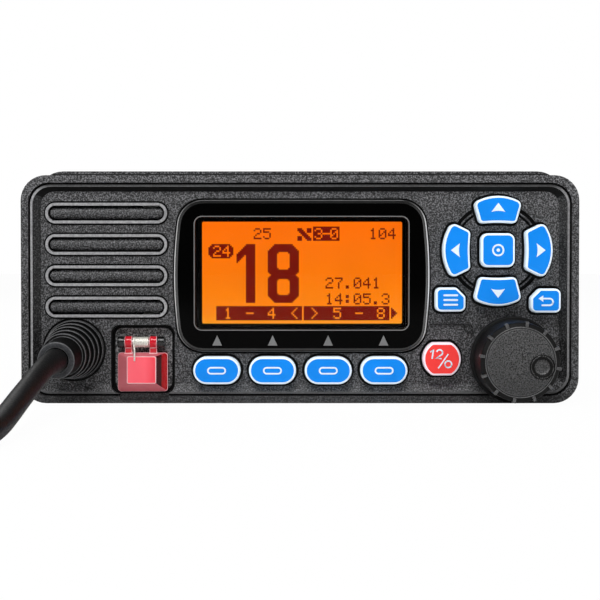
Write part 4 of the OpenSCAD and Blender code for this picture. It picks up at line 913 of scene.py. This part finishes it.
def makeDisplay(d):
    mesh = bmesh.new()
    glass = evenLoop(loopOf("lcd_glass"), d["count"])
    lit = roundedLoop(d["litX"], d["litZ"], d["litW"], d["litH"], 0.45 * mm)
    loft(mesh, glass, [(0, 6.5, 0), (0, d["litT"] + 0.05, 0)], frontCap=True)
    face = mesh.faces.new([mesh.verts.new(onFront(p.x, p.y, d["litT"] + 0.03)) for p in lit])
    face.material_index = 1
    pitchX, pitchZ = d["litW"] / d["cols"], d["litH"] / d["rows"]
    left, top = d["litX"] - d["litW"] / 2, d["litZ"] + d["litH"] / 2
    half = d["dot"] / 2
    corners = [(-half, -half), (half, -half), (half, half), (-half, half)]
    for col, row in sorted(displayDots()):
        u, v = left + (col + 0.5) * pitchX, top - (row + 0.5) * pitchZ
        dot = mesh.faces.new([mesh.verts.new(onFront(u + a * pitchX, v + b * pitchZ, d["litT"] + 0.01))
                              for a, b in corners])
        dot.material_index = 2
    panel = finishMesh("dotDisplay", mesh, "radio",
                       [made["displayEdge"], litOrange(d), displayInk()], flat=True)
    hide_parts("lcd_glass")
    print("display made:", len(displayDots()), "dots")


makeWindow(display)
makeDisplay(display)


# volume knob: turned body with grip blocks, a ringed face and a finger dimple, in millimetres
knob = {"sides": 144, "backT": -1.2, "skirtR": 12.3, "skirtT": 2.2, "wallR": 11.35, "edgeR": 11.0,
        "length": 15.8, "chamfer": 1.1, "discR": 9.35, "groove": 0.16, "dimpleX": 5.9, "dimpleZ": -1.3,
        "dimpleR": 2.25, "dimpleDepth": 1.1, "lipW": 0.35, "lipDepth": 0.12, "ringR": 3.15, "ringW": 0.4,
        "ringDepth": 0.25, "bulge": 0.18, "rings": 60, "blocks": 12, "blockStart": 20.7, "blockW": 0.85,
        "blockOut": 11.4, "blockIn": 10.0, "blockLen": 2.6}


# depth of the face at a place, with the dimple and its ring pressed in
def faceDepth(k, u, v):
    r = math.hypot(u - k["dimpleX"], v - k["dimpleZ"])
    past, ring = r - k["dimpleR"], r - k["ringR"]
    if past < 0:
        return k["dimpleDepth"] * (1 - (r / k["dimpleR"]) ** 2) ** 0.5 * 0.75 + k["lipDepth"]
    if past < k["lipW"]:
        return k["lipDepth"] * (1 - past / k["lipW"])
    if 0 <= ring < k["ringW"]:
        return k["ringDepth"] * math.sin(math.pi * ring / k["ringW"])
    return 0.0


def makeKnob(k):
    u, v = middleOf("volume_knob")
    back, skirt, wall, edge, disc = k["backT"], k["skirtR"], k["wallR"], k["edgeR"], k["discR"]
    front, lip = back - k["length"], back - k["skirtT"]
    slope, sunk = front + k["chamfer"], front + k["groove"] + 0.14
    profile = [(0, back), (skirt - 0.25, back), (skirt, back - 0.25), (skirt, lip + 0.35),
               (skirt - 0.35, lip), (wall + 0.15, lip), (wall, lip - 0.2),
               (edge + 0.1, slope + 0.5), (edge, slope + 0.12), (edge - 0.12, slope - 0.1),
               (disc + 0.5, front + 0.2), (disc + 0.3, front + 0.12),
               (disc + 0.16, front + 0.14), (disc + 0.1, sunk), (disc - 0.02, sunk),
               (disc - 0.08, front + 0.06), (disc - 0.25, front)]
    mesh = bmesh.new()
    # the back, skirt, wall, chamfer and the groove round the disc take the near-black painted shade, and the
    # two edges of the groove a lighter painted highlight
    for first, last, material in ((0, 8, 1), (7, 11, 1), (10, 13, 2), (12, 15, 1), (14, 17, 2)):
        addLathe(mesh, onFront(u, v, 0), (0, 1, 0), profile[first:last], material, k["sides"])
    # the face is a fine grid cut to the disc, so that the dimple can sink into it
    rim, rings, spokes = disc - 0.25, k["rings"], k["sides"]
    axis = Vector((0, 1, 0))
    side = axis.orthogonal().normalized()
    up = axis.cross(side)
    previous = None
    for i in range(rings, -1, -1):
        r = rim * i / rings
        ring = []
        for s in range(spokes if i else 1):
            a = 2 * math.pi * s / spokes
            place = side * r * math.cos(a) + up * r * math.sin(a)
            t = front - k["bulge"] * (1 - (r / rim) ** 2) + faceDepth(k, place.x, place.z)
            ring.append(mesh.verts.new(onFront(u + place.x * mm, v + place.z * mm, t)))
        if previous and i:
            bridge(mesh, previous, ring, 0)
        elif previous:
            for s in range(spokes):
                mesh.faces.new((previous[s], previous[(s + 1) % spokes], ring[0]))
        previous = ring
    # the grip blocks take the lighter painted highlight tone
    for i in range(k["blocks"]):
        a = math.radians(k["blockStart"] + 360 * i / k["blocks"])
        out, along = Vector((math.cos(a), math.sin(a))), Vector((-math.sin(a), math.cos(a)))
        corners = []
        for r, w in ((k["blockIn"], -1), (k["blockOut"], -1), (k["blockOut"], 1), (k["blockIn"], 1)):
            p = out * r + along * w * k["blockW"] / 2
            corners.append((u + p.x * mm, v + p.y * mm))
        addPrism(mesh, corners, front + k["blockLen"] + 0.3, front + 0.25, 2)
    # the dimple's rim and the ring round it are painted with the near-black shade
    for face in mesh.faces:
        place = face.calc_center_median()
        r = math.hypot((place.x - u) / mm - k["dimpleX"], (place.z - v) / mm - k["dimpleZ"])
        marked = -0.15 < r - k["dimpleR"] < 0.7 or 0 < r - k["ringR"] < k["ringW"]
        if marked and place.y < onFront(0, 0, front + 1.5).y:
            face.material_index = 1
    turned = finishMesh("volumeKnob", mesh, "volume_knob",
                        [made["knobPlastic"], made["knobSide"], made["knobEdge"]])
    soften(turned, 0.14, 2, 40)
    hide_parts("volume_knob")
    print("knob made")


makeKnob(knob)


# ribbed boot that the cord leaves through, turned round its own drooping axis
boot = {"x": -65.1, "z": 15.3, "droop": 3, "yaw": 1.6, "flangeR": 8.6, "startT": 1.35,
        "ribs": [7.95, 7.45, 6.85, 6.3], "pitch": 4.0, "groove": 1.0, "length": 26.9,
        "tipR": 5.05, "mouthR": 3.35}


def makeBoot(b):
    droop, yaw = math.radians(b["droop"]), math.radians(b["yaw"])
    axis = Vector((-math.sin(yaw) * math.cos(droop), -math.cos(yaw) * math.cos(droop), -math.sin(droop)))
    origin = onFront(b["x"] * mm, b["z"] * mm, b["startT"])
    flange, mouth, tipR, tip, start = b["flangeR"], b["mouthR"], b["tipR"], b["length"], -0.45
    profile = [(0, start - 2), (5.5, start - 2), (5.5, start), (flange, start), (flange, 0.0),
               (flange - 0.25, 0.3)]
    along = 0.45
    for r in b["ribs"]:
        low, far = r - b["groove"], along + b["pitch"]
        profile += [(low + 0.1, along), (low, along + 0.25), (low, along + 1.4), (r - 0.1, along + 1.6),
                    (r, along + 1.8), (r, far - 0.5), (r - 0.12, far - 0.3)]
        along = far
    low = b["ribs"][-1] - b["groove"]
    profile += [(low + 0.1, along), (low, along + 0.3), (tipR + 0.1, tip - 1.0), (tipR + 0.05, tip - 0.4)]
    rim = [(tipR + 0.05, tip - 0.4), (tipR - 0.12, tip - 0.12), (tipR - 0.4, tip), (mouth + 0.25, tip),
           (mouth, tip - 0.2)]
    inside = [(mouth, tip - 0.2), (mouth - 0.05, tip - 2.5), (0, tip - 2.5)]
    mesh = bmesh.new()
    # the body takes the darkened rubber as painted shade and the tip rim the lighter painted-light copy
    for part, material in ((profile, 0), (rim, 1), (inside, 0)):
        addLathe(mesh, origin, axis, part, material, 72)
    piece = finishMesh("cordBoot", mesh, "radio",
                       [made["bootRubber"], made["bootTip"], made["bootEdge"]])
    soften(piece, 0.1, 1, 28)
    # the rounded edges take the painted highlight tone
    piece.modifiers["edges"].material = 2
    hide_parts("cord_boot")
    print("boot made")


makeBoot(boot)


# red see-through cover over the distress key, with one tone or with tones from side to side, and a painted
# glow
def redClear(name, color, clear, paintedGlow, across=None, shine=0.5):
    stops = [(0.3, 0.04), (0.7, 0.09)]
    material, n, link, skin = smearedFinish(name, 5, 2, stops, {
        "Transmission Weight": clear, "IOR": 1.45, "Specular IOR Level": shine,
        "Emission Color": (*color, 1), "Emission Strength": paintedGlow})
    if across:
        tone = toneAlong(n, link, "X", *across)
    else:
        darker = tuple(c * 0.9 for c in color)
        tone = rampNode(n, link, noiseNode(n, link, 5, 2), [(0.35, darker), (0.65, color)])
    link.new(tone, skin.inputs["Base Color"])
    return material


# painted light: the face has a painted glow and grows darker towards its right, the bevels take paler or
# darker copies of the red for how the light falls on them, and the sides are painted dark with a lighter
# painted streak along the right bevel
coverLow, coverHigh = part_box("distress_cover")
bevelW = 3.3 * mm
faceLeft, faceRight = coverLow.x + bevelW, coverHigh.x - bevelW
made["redFace"] = redClear("redFace", (1.0, 0.085, 0.13), 0.3, 0.3, (faceLeft, faceRight, [
    (0.0, (1.0, 0.13, 0.17)), (0.6, (1.0, 0.12, 0.16)), (0.95, (0.85, 0.03, 0.05))]))
made["redDeep"] = redClear("redDeep", (0.3, 0.002, 0.005), 0.4, 0.03, (faceRight, coverHigh.x, [
    (0.0, (0.03, 0.001, 0.002)), (0.45, (0.05, 0.001, 0.002)), (0.52, (0.5, 0.003, 0.006)),
    (0.9, (0.6, 0.004, 0.008)), (1.0, (0.1, 0.001, 0.002))]), 0.12)
# lit and shaded copies of the red for the bevels, the arms' own red and a pale edge tone, each with a painted
# glow
redTones = {"redBevel": ((0.68, 0.17, 0.2), 0.3, 0.1), "redLow": ((0.7, 0.16, 0.19), 0.35, 0.12),
            "redArm": ((0.75, 0.012, 0.03), 0.3, 0.06), "redEdge": ((0.9, 0.5, 0.53), 0.2, 0.14)}
for toneName, (color, clear, paintedGlow) in redTones.items():
    made[toneName] = redClear(toneName, color, clear, paintedGlow)


def makeCover():
    # the rounded edges take the pale pink painted highlight
    cover = finishNode("distress_cover", "redDeep", 0.16, "redEdge", 25)
    tones = ("redFace", "redBevel", "redLow", "redArm")
    for tone in tones:
        cover.data.materials.append(made[tone])
    face, bevel, lower, arm = range(len(cover.data.materials) - len(tones), len(cover.data.materials))
    pinMid = sum(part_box("cover_pin"), Vector()) / 2
    # each facet takes the lit face, a shaded bevel copy or the arms' own red by the way it faces; the rest
    # keep the shaded sides
    for facet in cover.data.polygons:
        way, place = facet.normal, facet.center
        if place.z > pinMid.z - 2.9 * mm:
            facet.material_index = arm
        elif way.y < -0.97 and place.y < coverLow.y + 0.3 * mm:
            facet.material_index = face
        elif way.y < -0.3 and way.z < -0.3:
            facet.material_index = lower
        elif way.y < -0.3 and way.x < 0.3:
            facet.material_index = bevel
    print("cover toned")


makeCover()

# torsion spring: a close wound coil with a leg that lies on the cover
spring = {"r": 1.6, "inside": 0.75, "wire": 0.52, "turns": 9, "span": 4.5, "legT": -1.05}


def makeSpring(s):
    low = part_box("cover_spring")[0]
    mid = sum(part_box("cover_pin"), Vector()) / 2
    pitch, half = s["span"] / s["turns"], s["span"] / 2
    profile = [(s["inside"], -half)]
    for i in range(s["turns"]):
        for step in range(7):
            r = s["r"] - pitch * 0.35 * (1 - math.sin(math.pi * step / 6))
            profile.append((r, -half + pitch * (i + step / 6 * 0.98 + 0.01)))
    profile.append((s["inside"], half))
    mesh = bmesh.new()
    addLathe(mesh, mid, (1, 0, 0), profile, 0, 48)
    coil = finishMesh("springCoil", mesh, "distress_cover", [made["springWire"]])
    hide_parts("cover_spring")
    # the leg, from its foot on the cover up and over the coil
    legX, legY = mid.x - (half - 0.6) * mm, railY + s["legT"] * mm
    leg = [Vector((legX + across * mm, y, z)) for across, y, z in (
        (0, legY + 0.05 * mm, low.z + 0.1 * mm), (0, legY, low.z + 1.2 * mm), (0, legY, mid.z - 2.3 * mm),
        (-0.1, legY + 0.25 * mm, mid.z - 1.7 * mm), (-0.3, mid.y - 1.5 * mm, mid.z - 0.9 * mm),
        (-0.35, mid.y - 1.65 * mm, mid.z), (-0.35, mid.y - 1.2 * mm, mid.z + 1.1 * mm))]
    tubeObject("springLeg", smoothLine(leg, 5), s["wire"] / 2 * mm, "distress_cover",
               made["springWire"])
    print("spring made")


makeSpring(spring)


# mixes what only the camera sees over what the light sees, by a share
def mixForCamera(n, link, lit, seen, share, output):
    path = n.new("ShaderNodeLightPath")
    scaled = n.new("ShaderNodeMath")
    scaled.operation = "MULTIPLY"
    scaled.inputs[1].default_value = share
    link.new(path.outputs["Is Camera Ray"], scaled.inputs[0])
    mixing = n.new("ShaderNodeMixShader")
    link.new(scaled.outputs["Value"], mixing.inputs["Fac"])
    link.new(lit, mixing.inputs[1])
    link.new(seen, mixing.inputs[2])
    link.new(mixing.outputs["Shader"], n[output].inputs["Surface"])


# floor, lamps and the pale surroundings
def makeFloor():
    material, n, link, skin = newMaterial("paleFloor")
    setInputs(skin, {"Base Color": (0.93, 0.93, 0.93, 1), "Roughness": 0.7, "Specular IOR Level": 0.2})
    # seen by the camera, the lit floor is lifted to white and keeps a light shadow
    white = n.new("ShaderNodeEmission")
    white.inputs["Color"].default_value = (1, 1, 1, 1)
    mixForCamera(n, link, skin.outputs["BSDF"], white.outputs["Emission"], 0.975, "Material Output")
    mesh = bpy.data.meshes.new("floor")
    s = 6
    mesh.from_pydata([(-s, -s, 0), (s, -s, 0), (s, s, 0), (-s, s, 0)], [], [(0, 1, 2, 3)])
    mesh.materials.append(material)
    floor = bpy.data.objects.new("floor", mesh)
    bpy.context.scene.collection.objects.link(floor)


makeFloor()

lamps = {
    "topLamp": {"place": (-0.1, -0.75, 0.95), "size": (0.7, 0.45), "power": 9.5},
    "leftLamp": {"place": (-0.95, -0.55, 0.45), "size": (0.3, 0.6), "power": 3.6},
    "rightLamp": {"place": (0.95, -0.55, 0.55), "size": (0.3, 0.6), "power": 2.8},
    "backLamp": {"place": (-0.3, 0.9, 0.8), "size": (0.7, 0.6), "power": 4},
}


def makeLamps(each):
    for name, l in each.items():
        data = bpy.data.lights.new(name, "AREA")
        data.shape = "RECTANGLE"
        data.size, data.size_y = l["size"]
        data.energy = l["power"]
        lamp = bpy.data.objects.new(name, data)
        lamp.location = l["place"]
        aim = Vector((0, 0, 0.03)) - Vector(l["place"])
        lamp.rotation_euler = aim.to_track_quat("-Z", "Y").to_euler()
        bpy.context.scene.collection.objects.link(lamp)


makeLamps(lamps)


def makeWorld():
    world = bpy.data.worlds.new("world")
    world.use_nodes = True
    n, link = world.node_tree.nodes, world.node_tree.links
    soft = n["Background"]
    setInputs(soft, {"Color": (1, 1, 1, 1), "Strength": 0.15})
    white = n.new("ShaderNodeBackground")
    setInputs(white, {"Color": (1, 1, 1, 1), "Strength": 1})
    mixForCamera(n, link, soft.outputs["Background"], white.outputs["Background"], 1, "World Output")
    bpy.context.scene.world = world


makeWorld()
bpy.context.scene.view_settings.view_transform = "Standard"
print("stage set")
